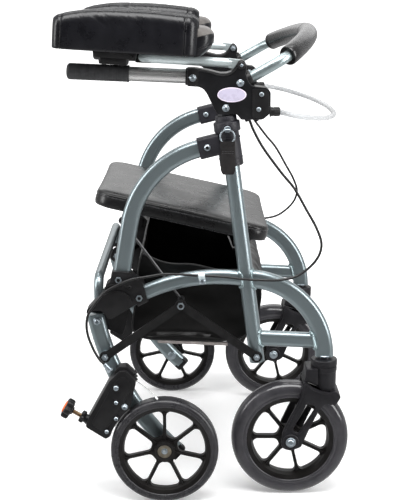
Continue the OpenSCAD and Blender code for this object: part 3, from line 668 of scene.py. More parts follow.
def dome(outline, w, drop, k=4, seed=0.0):
    """Stuffed nose: a side-plane outline carried round a half-oval plan, sinking a little to both sides."""
    bm = bmesh.new()
    loop = [(p.x, p.z) for p in catmull([V(x, 0, z) for x, z in outline + outline[:1]], k)[:-1]]
    n = len(loop)
    lo = min(z for _, z in loop)
    hi = max(z for _, z in loop)
    rings = []
    m = 40
    for i in range(m + 1):
        y = w * math.sin(math.pi / 2 * (2 * i / m - 1)) * 0.9995
        f = dome_k(y, w)
        ring = []
        for x, z in loop:
            h = 0.3 * smooth_noise((x, y, z), 0.05, seed)
            ring.append(bm.verts.new((-24 + (x + 24) * max(f, 0.03), -HALF + y, z + h - drop * (1 - f) * (z - 812) / (hi - 812))))
        rings.append(ring)
    for r0, r1 in zip(rings, rings[1:]):
        for i in range(n):
            bm.faces.new((r0[i], r0[(i + 1) % n], r1[(i + 1) % n], r1[i]))
    bm.faces.new(rings[0])
    bm.faces.new(rings[-1])
    return tip(bm)


def nose_welt():
    """Two sewn cords round the nose, over the panel under it."""
    bm = bmesh.new()
    for dz, o in ((1.4, 0.3), (-2.0, -0.5)):
        pts = []
        for i in range(49):
            y = 38.6 * math.sin(math.pi / 2 * (2 * i / 48 - 1)) * 0.998
            f = dome_k(y, 38.6)
            pts.append(V(-24 + (33.6 + o) * f, -HALF + y, 824.5 + 17.5 * f + dz))
        add(bm, tube(pts, 0.95, 6))
    return tip(bm)


for side, seed in (("right", 1.3), ("left", 5.1)):
    lf = side == "left"
    shell = put(f"{side}_pad_cover", pad_shell(seed), M["pad"], f"{side}_pad", "pad_leather", rep=f"{side}_forearm_pad", left=lf, smooth=60)
    put(f"{side}_pad_welts", pad_seams(seed), M["pad"], f"{side}_pad", "pad_leather", left=lf, smooth=60)
    floor_pad = put(f"{side}_pad_floor", pad_floor(seed), M["pad_floor"], f"{side}_pad", "pad_leather", left=lf, smooth=60)
    nose = put(f"{side}_pad_nose", dome(NOSE, 37.5, 9.0, 4, seed), M["pad_floor"], f"{side}_pad", "pad_leather", left=lf, smooth=60)
    chin = put(f"{side}_pad_chin", dome(CHIN, 38.5, 10.0, 4, seed), M["pad"], f"{side}_pad", "pad_leather", left=lf, smooth=60)
    put(f"{side}_pad_nose_welt", nose_welt(), M["pad"], f"{side}_pad", "pad_leather", left=lf, smooth=60)

# ------------------------------------------------------------------ seat
SEAT_Q, SEAT_A = (68.0, 455.0), rad(12.7)


def seat_pt(x, y, z):
    c, s = math.cos(SEAT_A), math.sin(SEAT_A)
    return V(SEAT_Q[0] + x * c + z * s, y, SEAT_Q[1] - x * s + z * c)


def seat_outline(d, nc=14, ns=26, waist=0.0):
    """Rounded rectangle of the seat, inset by d; its sides pull in a little between the corners."""
    x0, x1, w, r = -293 + d, 43 - d, 200 - d, max(5.0, 40 - d)
    cs = [(x1 - r, w - r, 0), (x0 + r, w - r, 90), (x0 + r, -w + r, 180), (x1 - r, -w + r, 270)]
    out = []
    for i, (cx, cy, a0) in enumerate(cs):
        for k in range(nc + 1):
            a = rad(a0 + 90 * k / nc)
            out.append((cx + r * math.cos(a), cy + r * math.sin(a)))
        nx, ny, na = cs[(i + 1) % 4]
        p = out[-1]
        q = (nx + r * math.cos(rad(na)), ny + r * math.sin(rad(na)))
        for k in range(1, ns):
            t = k / ns
            out.append((p[0] + (q[0] - p[0]) * t, p[1] + (q[1] - p[1]) * t))
    if waist:
        cx, cy = (x0 + x1) / 2, 0.0
        hx, hy = (x1 - x0) / 2, w
        out = [(cx + (x - cx) * (1 - waist / hx * (1 - ((y - cy) / hy) ** 2)), cy + (y - cy) * (1 - waist / hy * (1 - ((x - cx) / hx) ** 2))) for x, y in out]
    return out


SEAM_Z = 42.0


def seat_cushion():
    prof = [(18, 20.9), (6, 21.0), (2.4, 21.8), (0.9, 23.6), (0.3, 26), (0, 30), (0.2, 35), (0.7, 39), (1.7, 41.4), (2.5, SEAM_Z), (1.6, 42.8), (1.2, 44.2),
            (2.0, 46.2), (4.2, 48.2), (8, 49.9), (14, 51.2), (24, 52.2), (40, 53.0), (62, 53.6), (90, 54.0), (122, 54.2), (150, 54.3)]
    bm = bmesh.new()
    rings = []
    for d, z in prof:
        ring = []
        for x, y in seat_outline(d, waist=2.2):
            h = 0.0
            if z > 44:
                h = 0.55 * smooth_noise((x, y, 0), 0.012, 2.0) + 0.2 * smooth_noise((x, y, 0), 0.04, 5.0)
            ring.append(bm.verts.new(seat_pt(x, y, z + h)))
        rings.append(ring)
    n = len(rings[0])
    for a, b in zip(rings, rings[1:]):
        for i in range(n):
            bm.faces.new((a[i], a[(i + 1) % n], b[(i + 1) % n], b[i]))
    bm.faces.new(rings[0])
    bm.faces.new(rings[-1])
    return bm


def seat_piping():
    bm = bmesh.new()
    o = seat_outline(1.3, waist=2.2)
    add(bm, tube([seat_pt(x, y, SEAM_Z) for x, y in o], 1.25, 8, closed=True))
    o = seat_outline(2.0, waist=2.2)
    add(bm, tube([seat_pt(x, y, 22.2) for x, y in o], 0.9, 6, closed=True))
    return bm


seat = put("seat_cover", seat_cushion(), M["seat"], "seat", "seat_vinyl", rep="seat_cushion", smooth=60)
put("seat_piping", seat_piping(), M["piping"], "seat", "seat_vinyl", smooth=60)

# ------------------------------------------------------------------ bag
BAG_W = 233.0
BAG_PROFILE = [(-119, 456), (-124, 440), (-128, 415), (-131, 380), (-134.5, 350), (-138, 327), (-138.5, 312), (-133, 300), (-121, 293), (-100, 289.5), (-50, 287.2), (-10, 286.5),
               (30, 287), (52, 288.5), (68, 294), (81, 306), (91, 325), (98, 348), (101.5, 372), (100, 394), (93, 412), (82, 424)]


def bag_wrap():
    """Rear wall, bottom and bulging front of the bag as one sagging strip."""
    route = catmull([V(x, 0, z) for x, z in BAG_PROFILE], 5)
    cum = [0.0]
    for a, b in zip(route, route[1:]):
        cum.append(cum[-1] + (b - a).length)
    total = cum[-1]
    bm = bmesh.new()
    ny = 84
    rows = []
    for i, p in enumerate(route):
        s = cum[i] / total
        t = (route[min(i + 1, len(route) - 1)] - route[max(i - 1, 0)]).normalized()
        out = V(-t.z, 0, t.x)
        if (p - V(-10, 0, 370)).dot(out) < 0:
            out = -out
        row = []
        for j in range(ny + 1):
            y = -BAG_W + 2 * BAG_W * j / ny
            e = 1 - (abs(y) / BAG_W) ** 2.2
            front = max(0.0, min(1.0, (p.x - 60) / 30)) if p.z > 292 else 0.0
            bottom = 1.0 if p.z < 292 else 0.0
            rear = max(0.0, min(1.0, (-110 - p.x) / 12))
            h = 7.5 * e * front + 1.5 * e * rear
            w = 2.3 * smooth_noise((p.x * 1.6, y, p.z * 0.8), 0.022, 3.1) + 1.5 * smooth_noise((p.x, y * 1.8, p.z * 0.7), 0.05, 8.2)
            n1 = smooth_noise((p.x * 0.5, y * 2.4, p.z * 0.8), 0.030, 1.7)
            w += 2.4 * (0.35 - abs(n1)) * front
            h += w * (0.3 + 0.9 * front + 0.5 * bottom) * min(1.0, 12 * (1 - abs(y) / BAG_W))
            if bottom:
                h += 3.0 * e - 1.0
            q = p + out * h
            # the free top edge of the front hangs a little
            if i > len(route) - 9:
                q.z -= 3.5 * e * (i - (len(route) - 9)) / 8
            row.append(bm.verts.new((q.x, y, q.z)))
        rows.append(row)
    for a, b in zip(rows, rows[1:]):
        for j in range(ny):
            bm.faces.new((a[j], a[j + 1], b[j + 1], b[j]))
    return bm


def bag_edges(z):
    """Rear and front edge of the bag's side at height z."""
    pts = [(p.x, p.z) for p in catmull([V(x, 0, z) for x, z in BAG_PROFILE], 5)]
    low = min(range(len(pts)), key=lambda i: pts[i][1])
    ends = []
    for run in (pts[:low + 1], list(reversed(pts[low:]))):
        x = run[0][0]
        for (x0, z0), (x1, z1) in zip(run, run[1:]):
            if z <= z0:
                x = x1 if z <= z1 else x0 + (x1 - x0) * (z - z0) / (z1 - z0)
        ends.append(x)
    if z > 424:
        ends[1] = 82 - (z - 424) * 0.6
    return ends


def bag_top(s):
    """Height of the side panel's sagging top edge, from the rear (0) to the front (1)."""
    return 456 - 32 * s - 16 * math.sin(math.pi * min(1.0, s * 1.05)) + 10 * math.sin(math.pi * s) ** 6


def bag_side():
    """One side panel, with a sagging top edge and soft folds."""
    bm = bmesh.new()
    ns, nt = 60, 48
    rows = []
    for k in range(nt + 1):
        t = k / nt
        row = []
        for i in range(ns + 1):
            s = i / ns
            zt = bag_top(s)
            zb = 287.2 + 3 * (abs(s - 0.5) * 2) ** 6
            z = zb + (zt - zb) * t
            lo, hi = bag_edges(z)
            x = lo + (hi - lo) * s
            edge = min(1.0, 9 * min(s, 1 - s)) * min(1.0, 10 * t)
            h = 3.0 * math.sin(math.pi * s) * math.sin(math.pi * min(1.0, t * 0.9)) \
                + 1.5 * smooth_noise((x, 0, z * 0.7), 0.014, 4.4) + 1.0 * smooth_noise((x * 0.6, 0, z * 1.5), 0.035, 6.3)
            fold = 1.6 * math.exp(-((t - 0.87 - 0.06 * math.sin(3.2 * s)) / 0.035) ** 2) * (0.4 + 0.6 * s)
            # the bottom's stiffener stands out as a soft ridge
            ridge = 6.0 * math.exp(-((z - (300.3 - 0.0011 * (x + 62) ** 2)) / 3.6) ** 2) * max(0.0, min(1.0, (x + 124) / 18)) * max(0.0, min(1.0, (60 - x) / 70))
            y = -BAG_W - min(4.5, (h - fold) * edge) - ridge * min(1.0, edge + 0.5)
            row.append(bm.verts.new((x, y, z)))
        rows.append(row)
    for a, b in zip(rows, rows[1:]):
        for i in range(ns):
            bm.faces.new((a[i], a[i + 1], b[i + 1], b[i]))
    return bm


def bag_binding():
    """Sewn binding along the edges of the side panel and its top hem."""
    bm = bmesh.new()
    pts = [V(p.x, -BAG_W, p.z) for p in catmull([V(x, 0, z) for x, z in BAG_PROFILE], 5)]
    add(bm, tube(pts, 1.9, 8))
    top = []
    for i in range(41):
        s = i / 40
        zt = bag_top(s)
        lo, hi = bag_edges(zt)
        top.append(V(lo + (hi - lo) * s, -BAG_W - 0.8, zt))
    add(bm, tube(top, 2.2, 8))
    return bm


def bag_strip():
    """Bound edge of the bottom panel, hanging a little under the side."""
    bm = bmesh.new()
    n = 44
    rows = []
    for i in range(n + 1):
        t = i / n
        x = -92 + 132 * t
        z0 = 287.4 - 5.4 * t
        sag = 0.5 * smooth_noise((x, 0, 0), 0.05, 3.0)
        sec = [(-BAG_W + 4, z0 + 1.5), (-BAG_W - 1.2, z0 + 0.6), (-BAG_W - 2.6, z0 - 0.8), (-BAG_W - 2.4, z0 - 3.6 + sag), (-BAG_W - 0.6, z0 - 5.4 + sag), (-BAG_W + 4, z0 - 4.4 + sag)]
        rows.append([bm.verts.new((x, y, z)) for y, z in sec])
    m = len(rows[0])
    for a, b in zip(rows, rows[1:]):
        for j in range(m):
            bm.faces.new((a[j], a[(j + 1) % m], b[(j + 1) % m], b[j]))
    bm.faces.new(rows[0])
    bm.faces.new(rows[-1])
    return bm


def seat_hook():
    """Small bent hook under the seat's edge that carries the bag."""
    pts = catmull([V(40.5, -199, 481), V(43.0, -200.5, 477), V(46.0, -201.5, 469), V(48.6, -202, 462), V(52.5, -202, 459.6), V(55.6, -201.5, 463)], 6)
    return tube(pts, 1, section=[(-2.6, -0.9), (2.6, -0.9), (2.6, 0.9), (-2.6, 0.9)], up=(0, 1, 0))


def thicken(ob, t):
    so = ob.modifiers.new("thickness", "SOLIDIFY")
    so.thickness = t
    so.offset = 0.0
    return ob


wrap = put("bag_wrap", bag_wrap(), M["bag"], "frame", "bag_fabric", rep="bag", smooth=70, recalc=True)
thicken(wrap, 0.0016)
for side in ("right", "left"):
    sp = put(f"{side}_bag_side", bag_side(), M["bag"], "frame", "bag_fabric", left=side == "left", smooth=70)
    thicken(sp, 0.0016)
    put(f"{side}_bag_binding", bag_binding(), M["bag_trim"], "frame", "bag_fabric", left=side == "left", smooth=60)
    put(f"{side}_bag_strip", bag_strip(), M["strip"], "frame", "bag_fabric", left=side == "left", smooth=60)
    put(f"{side}_bag_hook", seat_hook(), M["hook"], "seat", "zinc", left=side == "left", smooth=40)
# ------------------------------------------------------------------ upper bracket
Y0 = -HALF
BRACKET = [(-34.5, 800), (-34.5, 768.5), (-14, 767.2), (-6, 763.5), (0, 755.5), (18, 719), (53, 719), (61, 709.5), (99, 709.5), (112.5, 721), (112.5, 759),
           (104, 766), (79, 769), (73, 777), (68.5, 790), (70.2, 805), (64, 814), (57, 814), (51.5, 805), (43.5, 794.2), (34, 791.2), (24, 791), (2, 796.5), (-22, 800)]
BRACKET_R = [2.5, 2.5, 12, 12, 12, 5, 5, 4, 11, 10, 8, 4, 12, 10, 8, 6, 5, 5, 6, 10, 10, 10, 14, 8]


def bracket():
    bm = bmesh.new()
    # two moulded halves with a fine parting line between them
    add(bm, prism(rounded(BRACKET, BRACKET_R, 5), Y0 - 19, Y0 - 0.35, 1.6, 3))
    add(bm, prism(rounded(BRACKET, BRACKET_R, 5), Y0 + 0.35, Y0 + 19, 1.6, 3))
    return bm


def bracket_trim():
    """Raised lands on the outer face: socket collar round the rear tube, the plate at the front and ribs."""
    bm = bmesh.new()
    for s in (-1, 1):
        y = Y0 + s * 19
        add(bm, prism(rounded([(-34, 799), (-34, 769.6), (-16, 769), (-15, 799)], [2, 2, 4, 4], 4), y - s * 0.5, y + s * 1.2, 0.8, 2))
        add(bm, prism(rounded([(80, 764), (80, 713), (97, 712.5), (109.5, 723), (109.5, 757.5), (102, 763.5)], [3, 5, 8, 8, 7, 4], 4), y - s * 0.5, y + s * 1.4, 0.8, 2))
        rib = catmull([V(-20, y, 797), V(0, y, 794), V(22, y, 787.8), V(36, y, 788.2), V(46, y, 793.5), V(53, y, 802)], 6)
        add(bm, tube(rib, 1.3, 8))
    # the sleeve round the rear handle tube
    c, s = math.cos(rad(2.5)), math.sin(rad(2.5))
    o = V(-34.5, Y0, 784.4)
    add(bm, lathe(o, (-c, 0, s), [(-3, 12.9), (-3, 15.4), (2.2, 15.4), (3.0, 14.6), (3.0, 12.85)], 40))
    # the sleeve round the handlebar's root
    c, s = math.cos(rad(29.3)), math.sin(rad(29.3))
    o = V(58.8, Y0, 771.5)
    add(bm, lathe(o, (c, 0, s), [(8, 10.2), (8, 16), (22, 14.6), (24, 13.4), (24, 10.2)], 40))
    # cap over the support's pivot
    add(bm, lathe(V(60.7, Y0 - 18.6, 805), (0, -1, 0), [(0, 4.2), (0, 7.2), (1.6, 7.0), (2.6, 6.0), (3.2, 4.4), (3.2, 4.2)], 28))
    # cable stops under the bracket
    for x in (71, 87):
        add(bm, lathe(V(x, Y0, 711), (0.35, 0, -1), [(-4, 0), (-4, 4.6), (5.5, 4.4), (6.5, 3.6), (6.5, 0)], 20))
    return bm


both("bracket_body", bracket, M["plastic_gloss"], "handle_unit", "black_plastic", rep="%s_bracket", smooth=32)
both("bracket_trim", bracket_trim, M["plastic"], "handle_unit", "black_plastic", smooth=32)


def badge(rim):
    """Plain oval plate."""
    bm = bmesh.new()
    c = V(44, Y0 - 19, 753.6)
    a, b = (25.5, 13) if rim else (23.9, 11.4)
    n = 56
    layers = [(1.0, 0.0), (1.0, 0.7), (0.97, 1.1)] if rim else [(1.0, 0.9), (1.0, 1.25), (0.96, 1.5), (0.6, 1.75), (0.25, 1.85)]
    rings = []
    for k, h in layers:
        rings.append([bm.verts.new((c.x + a * k * math.cos(2 * math.pi * j / n), c.y - h, c.z + b * k * math.sin(2 * math.pi * j / n))) for j in range(n)])
    for r0, r1 in zip(rings, rings[1:]):
        for j in range(n):
            bm.faces.new((r0[j], r0[(j + 1) % n], r1[(j + 1) % n], r1[j]))
    bm.faces.new(rings[0])
    bm.faces.new(rings[-1])
    return bm


both("badge_rim", lambda: badge(True), M["badge_rim"], "handle_unit", smooth=40)
both("badge", lambda: badge(False), M["badge"], "handle_unit", smooth=40)


def bracket_bolts():
    bm = bmesh.new()
    for x, z in [(-24.8, 783), (33.4, 730), (58.8, 774)]:
        add(bm, button(V(x, Y0 - 19.6, z), (0, -1, 0), 4.7, 3.2, washer=6.2))
        add(bm, nut(V(x, Y0 + 19.6, z), (0, 1, 0), 6.2, 4.2, stud=1.0))
    for x, z in [(96.4, 754.4), (91.6, 728)]:
        add(bm, button(V(x, Y0 - 20.2, z), (0, -1, 0), 4.3, 2.6))
        add(bm, nut(V(x, Y0 + 20.2, z), (0, 1, 0), 5.2, 3, stud=0.8))
    add(bm, button(V(60.7, Y0 - 21.6, 805), (0, -1, 0), 3.0, 1.6))
    add(bm, nut(V(60.7, Y0 + 19, 805), (0, 1, 0), 6.4, 4, stud=1.0))
    add(bm, lathe(V(60.7, Y0 - 19, 805), (0, 1, 0), [(0, 0), (0, 4), (38, 4), (38, 0)], 20))
    return bm


rb = both("bracket_screws", bracket_bolts, M["zinc"], "handle_unit", "zinc", smooth=35)
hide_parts("bracket_bolts")


def ferrules():
    bm = bmesh.new()
    prof = [(0, 0), (0, 9.4), (1.6, 9.4), (2.4, 8.4), (5.2, 8.2), (5.6, 7.6), (6.6, 7.6), (7.0, 8.2), (16.6, 7.9), (18.2, 7.2), (18.5, 6.4), (9, 6.2), (9, 0)]
    add(bm, lathe(V(112.0, Y0, 722), (1, 0, 0), prof, 32))
    # short flutes round the ferrule
    for k in range(10):
        a = 2 * math.pi * k / 10
        p = V(120.5, Y0 + 7.9 * math.cos(a), 722 + 7.9 * math.sin(a))
        add(bm, tube([p, p + V(8, -0.25 * math.cos(a), -0.25 * math.sin(a))], 0.7, 6))
    return bm


fr_ = both("loop_ferrule", ferrules, M["plastic"], "handle_unit", "black_plastic", smooth=40)
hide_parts("loop_ferrules")


# ------------------------------------------------------------------ brake pull loop: clear tube over a wire
LOOP = [(0, -268), (5, -268.6), (13, -275), (25, -281), (41, -278), (60, -261), (81, -229), (101, -180), (117, -112), (124, -45)]


def loop_path():
    c, s = math.cos(rad(11.3)), math.sin(rad(11.3))
    route = LOOP + [(x, -y) for x, y in reversed(LOOP)]
    return catmull([V(128 + x * c, y, 722 - x * s) for x, y in route], 6)


lp = loop_path()
put("brake_loop_tube", tube(lp, 4.7, 20), M["loop"], "brake_loop", "loop_tube", rep="brake_loop", smooth=60)
put("brake_loop_wire", tube(lp, 1.1, 8), M["steel"], "brake_loop", "loop_tube", smooth=60)

# ------------------------------------------------------------------ brake cables
CU = [(76, -268, 708), (84, -268, 688), (102, -269, 656), (134, -271, 613), (158, -273, 584), (180, -276, 546), (199, -279, 512), (208, -283, 482),
      (198, -286, 454), (169, -288, 428), (138, -289, 419), (108, -290, 418), (70, -290, 420), (31, -288, 424), (-12, -286.5, 426)]
CL = [(-46, -286.5, 428), (-76, -288, 429), (-107, -291, 425), (-138, -294, 420), (-162, -296, 410), (-181, -297, 400), (-196, -298, 385),
      (-208, -299, 369), (-216, -299, 355), (-219, -299, 336), (-216, -300, 314), (-206, -301, 288), (-196, -302, 271), (-190, -302, 264.6), (-185, -302, 259.2)]
whole = catmull([V(*p) for p in CU + CL], 8)
cut = min(range(len(whole)), key=lambda i: abs(whole[i].x + 9) + (0 if whole[i].z < 440 else 999))
CORD_LENGTHS = {}
for side in ("right", "left"):
    lf = side == "left"
    for part, pts in (("upper", whole[:cut + 1]), ("lower", whole[cut:])):
        ob = put(f"{side}_cable_{part}", tube(pts, 2.4, 12), M["cable"], None, "cable", rep=f"{side}_brake_cable", left=lf, smooth=60)
        world = [((p.x + OX) / 1000, (-p.y if lf else p.y) / 1000, p.z / 1000) for p in pts]
        if part == "upper":
            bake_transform(ob)
        else:
            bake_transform(ob)
        CORD_LENGTHS[ob.name] = length(world)


# ------------------------------------------------------------------ clip that holds the cable on the lower arch
def cable_clip():
    bm = bmesh.new()
    p = min(whole, key=lambda q: abs(q.x + 9) + (0 if q.z < 440 else 999))
    # strap: up from the screw, round the cable and back down, leaning a little to the rear
    path = [V(-7.2, Y0 - 11.6, 409.5), V(-7.6, Y0 - 11.8, 414), V(-8.6, Y0 - 12.4, 420)]
    for k in range(10):
        a = rad(200 - 250 * k / 9)
        path.append(V(-9.2, p.y - 3.4 * math.cos(a) * -1, p.z + 3.4 * math.sin(a)))
    path += [V(-8.6, Y0 - 15.4, 420.5), V(-7.6, Y0 - 14.2, 415), V(-7.2, Y0 - 13.6, 409.5)]
    add(bm, tube(path, 1, section=[(-6, -0.55), (6, -0.55), (6, 0.55), (-6, 0.55)], up=(1, 0, 0)))
    return bm


def clip_screw():
    return button(V(-7.4, Y0 - 14, 414.6), (0, -1, 0), 5.0, 2.8, washer=6.2)


both("cable_clip", cable_clip, M["clip"], "frame", "zinc", smooth=40)
both("cable_clip_screw", clip_screw, M["zinc"], "frame", "zinc", smooth=35)


# ------------------------------------------------------------------ collars with the height lock
def post_x(z):
    return 94.5 - (z - 258) * math.tan(rad(7.6))


def post_axis():
    return V(-math.sin(rad(7.6)), 0, math.cos(rad(7.6)))


def post_pt(z):
    return V(post_x(z), Y0, z)


def bar_section(h, t, r, n=5):
    """Rounded flat-sided section, h along the first direction and t along the second."""
    return rounded([(-h / 2, -t / 2), (h / 2, -t / 2), (h / 2, t / 2), (-h / 2, t / 2)], r, n)


def collar():
    bm = bmesh.new()
    ax = post_axis()
    c = 1 / math.cos(rad(7.6))
    prof = [(0, 14.1), (0, 20.4), (1.2, 21.4), (10, 21.2), (44, 20.6), (60, 19.8), (61, 20.2), (62, 23.0), (63.2, 23.7), (78, 23.7), (79.4, 22.8), (80, 20.4),
            (81, 19.4), (89, 19.0), (90.2, 18.2), (90.2, 12.1), (60, 12.1)]
    add(bm, lathe(post_pt(626), ax, prof, 48))
    # socket for the upper arch
    a, b = V(-14.5, Y0, 655.4), V(24, Y0, 665)
    sec = bar_section(38, 28, 6)
    d = (b - a).normalized()
    add(bm, tube([a, a + d * 0.8, a + d * 1.6, b], 1, section=sec, up=(-d.z, 0, d.x), radii=[0.955, 0.99, 1, 1]))
    # boss of the lock pin
    add(bm, lathe(V(post_x(694), Y0 - 17, 694), (0, -1, 0), [(0, 10.5), (5, 9.4), (7.2, 8.2), (8, 7.4), (8, 4.3), (2, 4.3)], 28))
    # clamp ears at the back, and rib lines
    for z in (640, 676):
        add(bm, lathe(post_pt(z), ax, [(-1.2, 19), (-1.0, 21.6), (0, 22), (1.0, 21.6), (1.2, 19)], 48))
    return bm


both("collar_body", collar, M["collar"], "frame", "collar_plastic", rep="%s_post_collar", smooth=35)


def lock_metal():
    bm = bmesh.new()
    x = post_x(694)
    add(bm, lathe(V(x, Y0 - 15.5, 694), (0, -1, 0), [(0, 0), (0, 4.0), (13.5, 4.0), (13.5, 6.0), (15.5, 6.0), (16.4, 5.2), (16.4, 0)], 24))
    ring = []
    for k in range(40):
        a = 2 * math.pi * k / 40
        ring.append(V(x + 12.8 * math.cos(a), Y0 - 31.5 - 1.2 * math.sin(a), 681 + 12.8 * math.sin(a)))
    add(bm, tube(ring, 1.35, 10, closed=True))
    return bm


def lock_tab():
    """Webbing tab: folded over the ring and sewn, with a soft rounded foot."""
    bm = bmesh.new()
    x = post_x(694) + 0.5
    n, m = 30, 16
    rows = []
    for k in range(n + 1):
        t = k / n
        z = 672.5 - 58.5 * t
        w = 13.2 if t < 0.86 else 13.2 - 4.0 * ((t - 0.86) / 0.14) ** 1.4
        row = []
        for j in range(m):
            a = 2 * math.pi * j / m
            thick = 1.75 if t > 0.12 else 2.6
            yy = thick * math.copysign(abs(math.sin(a)) ** 0.6, math.sin(a))
            xx = w * math.copysign(abs(math.cos(a)) ** 0.35, math.cos(a))
            wob = 0.6 * math.sin(4.2 * t + 0.4) + 0.5 * smooth_noise((xx, 0, z), 0.05, 2.2)
            row.append(bm.verts.new((x + xx + 1.2 * t, Y0 - 31.0 + yy + wob - 0.8 * t, z)))
        rows.append(row)
    for a, b in zip(rows, rows[1:]):
        for j in range(m):
            bm.faces.new((a[j], a[(j + 1) % m], b[(j + 1) % m], b[j]))
    bm.faces.new(rows[0])
    bm.faces.new(rows[-1])
    return bm


def tab_stitches():
    bm = bmesh.new()
    x = post_x(694) + 0.5
    for z, x0, x1 in ((655, -10, 10), (651.5, -10, 10), (622, -9, 9)):
        k = x0
        while k < x1:
            add(bm, tube([V(x + k + 0.6, Y0 - 33.2, z), V(x + k + 1.2, Y0 - 33.5, z), V(x + k + 1.8, Y0 - 33.2, z)], 0.35, 5))
            k += 2.4
    return bm


lk = both("lock_pin", lock_metal, M["zinc"], "%s_lock", "zinc", rep="%s_height_lock", smooth=40)
both("lock_tab", lock_tab, M["webbing"], "%s_lock", "bag_fabric", smooth=60)
both("lock_tab_stitches", tab_stitches, M["thread"], "%s_lock", "bag_fabric", smooth=60)


# ------------------------------------------------------------------ hinge castings at the rear of the side frames
UA, UR = (28.9, 490.2), 171.0
RA, RR = (21.5, 96.5), 323.0
H = (-201.0, 338.0)


def casting():
    bm = bmesh.new()
    # core web
    core = [(-170, 434), (-141, 432), (-131, 421), (-116, 412), (-109, 383), (-138, 366), (-178, 341), (-192, 360), (-207, 360), (-221, 353), (-219, 361),
            (-204, 377), (-186, 398), (-184, 408), (-176, 414)]
    add(bm, prism(rounded(core, [4, 4, 5, 4, 5, 10, 8, 6, 5, 3, 4, 14, 14, 6, 5], 4), Y0 - 19, Y0 + 17, 2.2, 3))
    # inner cheek round the hinge pin
    cheek = [(-178, 366), (-139, 366), (-156, 301), (-176, 313), (-201, 321), (-216, 331), (-216, 346), (-206, 358)]
    add(bm, prism(rounded(cheek, [6, 6, 6, 6, 14, 10, 10, 8], 4), Y0 + 12, Y0 + 17, 1.2, 2))
    return bm


def casting_trim():
    """Raised shield over the hinge, and the lips of the two tube sockets."""
    bm = bmesh.new()
    y = Y0 - 19
    shield = [(-216, 354), (-203, 372), (-188, 390), (-170, 398), (-152, 396), (-140, 388), (-136, 374), (-150, 362), (-177, 345), (-192, 361), (-206, 361)]
    add(bm, prism(rounded(shield, [3, 10, 10, 10, 10, 8, 8, 12, 6, 6, 4], 5), y + 1, y - 5.6, 4.2, 5))
    # socket lip on the upper tube
    d = V(math.cos(rad(80.3)), 0, math.sin(rad(80.3)))
    s = V(UA[0] + UR * math.cos(rad(170.3)), Y0, UA[1] + UR * math.sin(rad(170.3)))
    a = s - d * 91
    sec = bar_section(36.5, 38.6, 5)
    add(bm, tube([a - d * 20, a - d * 1.2, a], 1, section=sec, up=(d.z, 0, -d.x), radii=[1, 1, 0.965]))
    # socket lip on the lower arch
    pts = []
    for k in range(6):
        t = rad(118.4 - (118.4 - 114.6) * k / 5)
        pts.append(V(RA[0] + RR * math.cos(t), Y0, RA[1] + RR * math.sin(t)))
    sec = bar_section(31.5, 38.6, 5)
    t0 = (pts[1] - pts[0]).normalized()
    add(bm, tube(pts, 1, section=sec, up=(-t0.z, 0, t0.x), radii=[1, 1, 1, 1, 1, 0.965]))
    # two strengthening ribs
    add(bm, tube(catmull([V(-186, y - 0.4, 403), V(-176, y - 0.4, 408), V(-158, y - 0.4, 409), V(-143, y - 0.4, 404)], 5), 1.4, 8))
    add(bm, button(V(-140.6, Y0 - 19.2, 404), (0, -1, 0), 3.6, 2))
    return bm


cs = both("hinge_casting_body", casting, M["plastic"], "frame", "black_plastic", rep="%s_hinge_casting", smooth=32)
both("hinge_casting_trim", casting_trim, M["plastic"], "frame", "black_plastic", smooth=32)


def frame_screws():
    bm = bmesh.new()
    for x, z in [(-160.5, 418), (-123, 384)]:
        add(bm, nut(V(x, Y0 - 19.3, z), (0, -1, 0), 6.2, 4.4, stud=-3.4))
        add(bm, button(V(x, Y0 + 17.3, z), (0, 1, 0), 6, 1.6))
    # hinge pin
    add(bm, lathe(V(H[0], Y0 - 12, H[1]), (0, 1, 0), [(0, 0), (0, 5), (28, 5), (28, 0)], 24))
    add(bm, button(V(H[0], Y0 - 11.6, H[1]), (0, -1, 0), 6.2, 5.0, n=30, washer=7.6))
    add(bm, nut(V(H[0], Y0 + 16, H[1]), (0, 1, 0), 7.4, 3.0, stud=0.2))
    # front brace pin on the foot of the post
    add(bm, lathe(V(92.5, Y0 - 12.6, 272), (0, -1, 0), [(0, 0), (0, 6.6), (3.2, 6.6), (3.4, 4), (9.2, 4), (9.2, 0)], 24))
    add(bm, nut(V(92.5, Y0 - 21.4, 272), (0, -1, 0), 6.2, 4.6, stud=0.4))
    # screw in the collar's socket
    add(bm, button(V(1, Y0 - 14, 659.4), (0, -1, 0), 6.2, 4.0, n=30))
    add(bm, button(V(1, Y0 + 14, 659.4), (0, 1, 0), 6, 3.2))
    return bm


fs = both("frame_screws", frame_screws, M["zinc"], "frame", "zinc", smooth=35)


def hollow_shade_disc(p, r):
    """Black disc at the bottom of a nut's or a screw socket's hollow: painted shade of the hollow."""
    return lathe(p, (0, -1, 0), [(0, 0), (0, r), (0.5, r), (0.9, 0.8 * r), (0.9, 0)], 20)


# black discs in the hollows of the casting nuts and the collar screw: painted shade
def frame_hollow_shades():
    bm = bmesh.new()
    for x, z in [(-160.5, 418), (-123, 384)]:
        add(bm, hollow_shade_disc(V(x, Y0 - 21.2, z), 3.1))
    add(bm, hollow_shade_disc(V(1, Y0 - 16.0, 659.4), 3.0))
    return bm


# painted shade in the hollows of the nuts and the collar screw
both("frame_hollow_shades", frame_hollow_shades, M["black_metal"], "frame", "black_plastic", smooth=35)
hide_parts("frame_fasteners")


